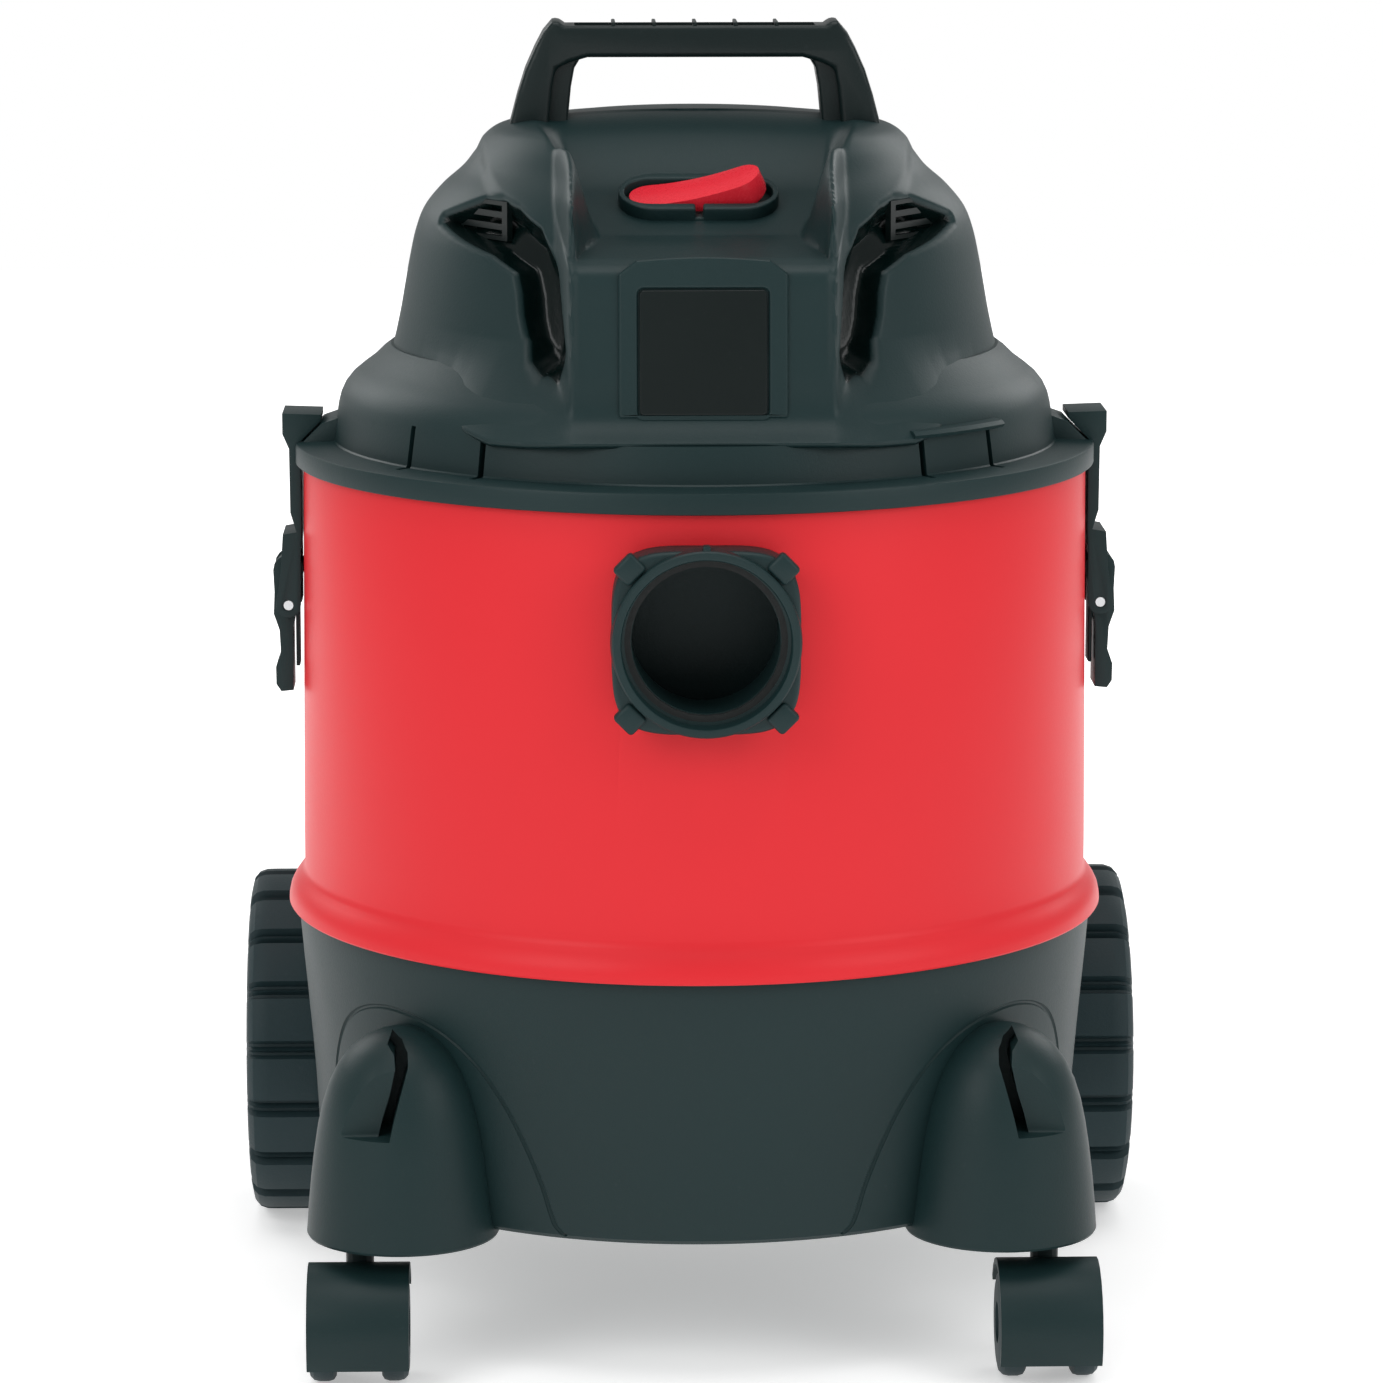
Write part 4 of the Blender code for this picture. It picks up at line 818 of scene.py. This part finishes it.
inletSize = {
    "z": 0.2985, "half": 0.0358, "power": 4.2, "squash": 0.985, "back": -0.1560, "face": -0.1745,
    "edge": 0.0022, "mouth": 0.0330, "bump": (0.0090, 0.0060, 0.0100), "bumpAt": (0.0290, -0.1735, 0.0286),
    "bumpEdge": 0.0016, "nub": (0.0030, 0.0050, 0.0030), "nubAt": (0, -0.1745, 0.0362), "nubEdge": 0.0006,
    "ring": ((0.0283, -0.1370), (0.0283, -0.1660), (0.0318, -0.1664), (0.0322, -0.1668), (0.0322, -0.1772),
             (0.0326, -0.1779), (0.0332, -0.1780), (0.0352, -0.1779), (0.0358, -0.1772), (0.0362, -0.1735),
             (0.0364, -0.1700), (0.0310, -0.1690), (0.0310, -0.1370)),
}


def makeInlet():
    size = inletSize
    power = size["power"]
    outline = []
    for step in range(120):                               # a rounded square
        turn = fullTurn * step / 120
        across, up = math.cos(turn), math.sin(turn)
        reach = size["half"] * (abs(across) ** power + abs(up) ** power) ** (-1 / power)
        outline.append((reach * across, reach * size["squash"] * up))
    stand = Matrix.Rotation(quarter, 4, "X")
    mouth = rod(size["mouth"], 0.08, Matrix.Translation((0, -0.16, 0)) @ stand, 96)
    flange = carved(eased(plate(outline, size["face"], size["back"], "XZ"), size["edge"], 4), mouth)
    bumpX, bumpY, bumpZ = size["bumpAt"]
    bumps = []
    for signX in (-1, 1):
        for signZ in (-1, 1):
            turn = Matrix.Rotation(-math.atan2(signZ, signX), 4, "Y")
            bump = cuboid(size["bump"], (signX * bumpX, bumpY, signZ * bumpZ), turn)
            bumps.append(eased(bump, size["bumpEdge"], 3))
    nub = eased(cuboid(size["nub"], size["nubAt"]), size["nubEdge"])
    ring = moved(spun([(radius, -depth) for radius, depth in size["ring"]], 96), stand)
    form = moved(merged(flange, nub, ring, *bumps), Matrix.Translation((0, 0, size["z"])))
    settle("hose_socket", form, "chassis", "black_plastic", ["inlet_port"], sharp=32)


# side latches, rear wheels and casters

wheelSize = {
    "profile": ((0.0565, 0.0185), (0.0580, 0.0190), (0.0660, 0.0190), (0.0705, 0.0180), (0.0728, 0.0160),
                (0.0738, 0.0130), (0.0739, 0.0090), (0.0739, 0.0), (0.0739, -0.0090), (0.0738, -0.0130),
                (0.0728, -0.0160), (0.0705, -0.0180), (0.0660, -0.0190), (0.0580, -0.0190), (0.0565, -0.0185),
                (0.0555, -0.0060), (0.0540, -0.0045), (0.0220, -0.0038), (0.0208, -0.0050), (0.0204, -0.0182),
                (0.0196, -0.0190), (0.0064, -0.0190), (0.0064, 0.0122), (0.0204, 0.0122), (0.0208, 0.0050),
                (0.0220, 0.0038), (0.0540, 0.0045), (0.0555, 0.0060)),
    "lugs": 18, "steps": 360, "ribHalf": 0.6, "ribDepth": 0.0014,      # half widths in degrees
    "grooveHalf": 2.6, "grooveDepth": 0.0036, "grooveStart": 0.0640, "grooveFull": 0.0680,
    "spokes": 6, "spoke": (0.0355, 0.0045, 0.0110), "spokeEdge": 0.0010, "spokeAt": (0.0382, 0.0080),
    "cap": ((0.0, 0.0184), (0.0060, 0.0184), (0.0068, 0.0178), (0.0076, 0.0178), (0.0084, 0.0188),
            (0.0150, 0.0184), (0.0195, 0.0172), (0.0218, 0.0156), (0.0225, 0.0140), (0.0225, 0.0126),
            (0.0, 0.0126)), "capSteps": 64,
}


def makeWheel(name, side):
    size = wheelSize
    form = spun(size["profile"], size["steps"])
    pitch = fullTurn / size["lugs"]
    for point in form.verts:
        radius = math.hypot(point.co.x, point.co.y)
        if radius > size["grooveStart"]:
            turn = math.atan2(point.co.y, point.co.x) / pitch
            offset = abs(turn - round(turn)) * math.degrees(pitch)
            depth = 0.0
            if offset < size["ribHalf"]:
                depth = size["ribDepth"]
            elif offset < size["grooveHalf"]:
                depth = size["grooveDepth"]
            scale = 1 - depth * easeStep(size["grooveStart"], size["grooveFull"], radius) / radius
            point.co.x *= scale
            point.co.y *= scale
    spokes = []
    outward, apart = size["spokeAt"]
    for step in range(size["spokes"]):
        turn = Matrix.Rotation(fullTurn * (step + 0.5) / size["spokes"], 4, "Z")
        for face in (-1, 1):
            spoke = eased(cuboid(size["spoke"]), size["spokeEdge"])
            spokes.append(moved(spoke, turn @ Matrix.Translation((outward, 0, face * apart))))
    wheelX, wheelY, wheelZ = baseSize["wheelAt"]
    place = Matrix.Translation((side * wheelX, wheelY, wheelZ)) @ Matrix.Rotation(side * quarter, 4, "Y")
    body = f"rear_wheel_{name}"
    tread = moved(merged(form, *spokes), place)
    settle(f"tread_wheel_{name}", tread, body, "wheel_plastic", [body], sharp=30)
    cap = moved(spun(size["cap"], size["capSteps"]), place)
    settle(f"wheel_cap_{name}", cap, body, "black_plastic", [f"hub_cap_{name}"])


casterSize = {
    "tire": ((0.0082, 0.0052), (0.0165, 0.0052), (0.0190, 0.0047), (0.0205, 0.0032), (0.0210, 0.0010),
             (0.0210, -0.0025), (0.0204, -0.0045), (0.0190, -0.0054), (0.0150, -0.0055), (0.0028, -0.0055),
             (0.0028, 0.0022), (0.0078, 0.0024)),
    "steps": 72, "hoodEdge": 0.0007,
}


def makeCaster(name):
    size = casterSize
    hood = eased(fromNode(f"caster_hood_{name}"), size["hoodEdge"], 3, 30)
    settle(f"caster_cover_{name}", hood, f"caster_{name}", "black_plastic", [f"caster_hood_{name}"], sharp=25)
    low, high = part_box(f"caster_axle_{name}")
    axle = (low + high) / 2
    for hand, sign in sides:
        node = f"caster_wheel_{name}_{hand}"
        low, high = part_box(node)
        place = (Matrix.Translation(((low.x + high.x) / 2, axle.y, axle.z))
                 @ Matrix.Rotation(sign * quarter, 4, "Y"))
        tire = moved(spun(size["tire"], size["steps"]), drum.inverted() @ place)
        settle(f"caster_tire_{name}_{hand}", tire, node, "wheel_plastic", [node])


latchEdge = 0.0006


def makeLatch(name):
    for part, body in (("latch_lever", f"latch_lever_{name}"), ("latch_hook", f"latch_hook_{name}"),
                       ("latch_bracket", "chassis")):
        node = f"{part}_{name}"
        form = eased(fromNode(node), latchEdge, 3, 25)
        settle(f"{node}_moulding", form, body, "black_plastic", [node], sharp=25)


makeDrum()
print("drum made")
makeBase()
print("base made")
makeLid()
makeHandle()
makeSwitch()
makeBadge()
print("head made")
makeInlet()
for sideName, sideSign in sides:
    makeWheel(sideName, sideSign)
    makeCaster(sideName)
    makeLatch(sideName)
print("wheels, casters and latches made")
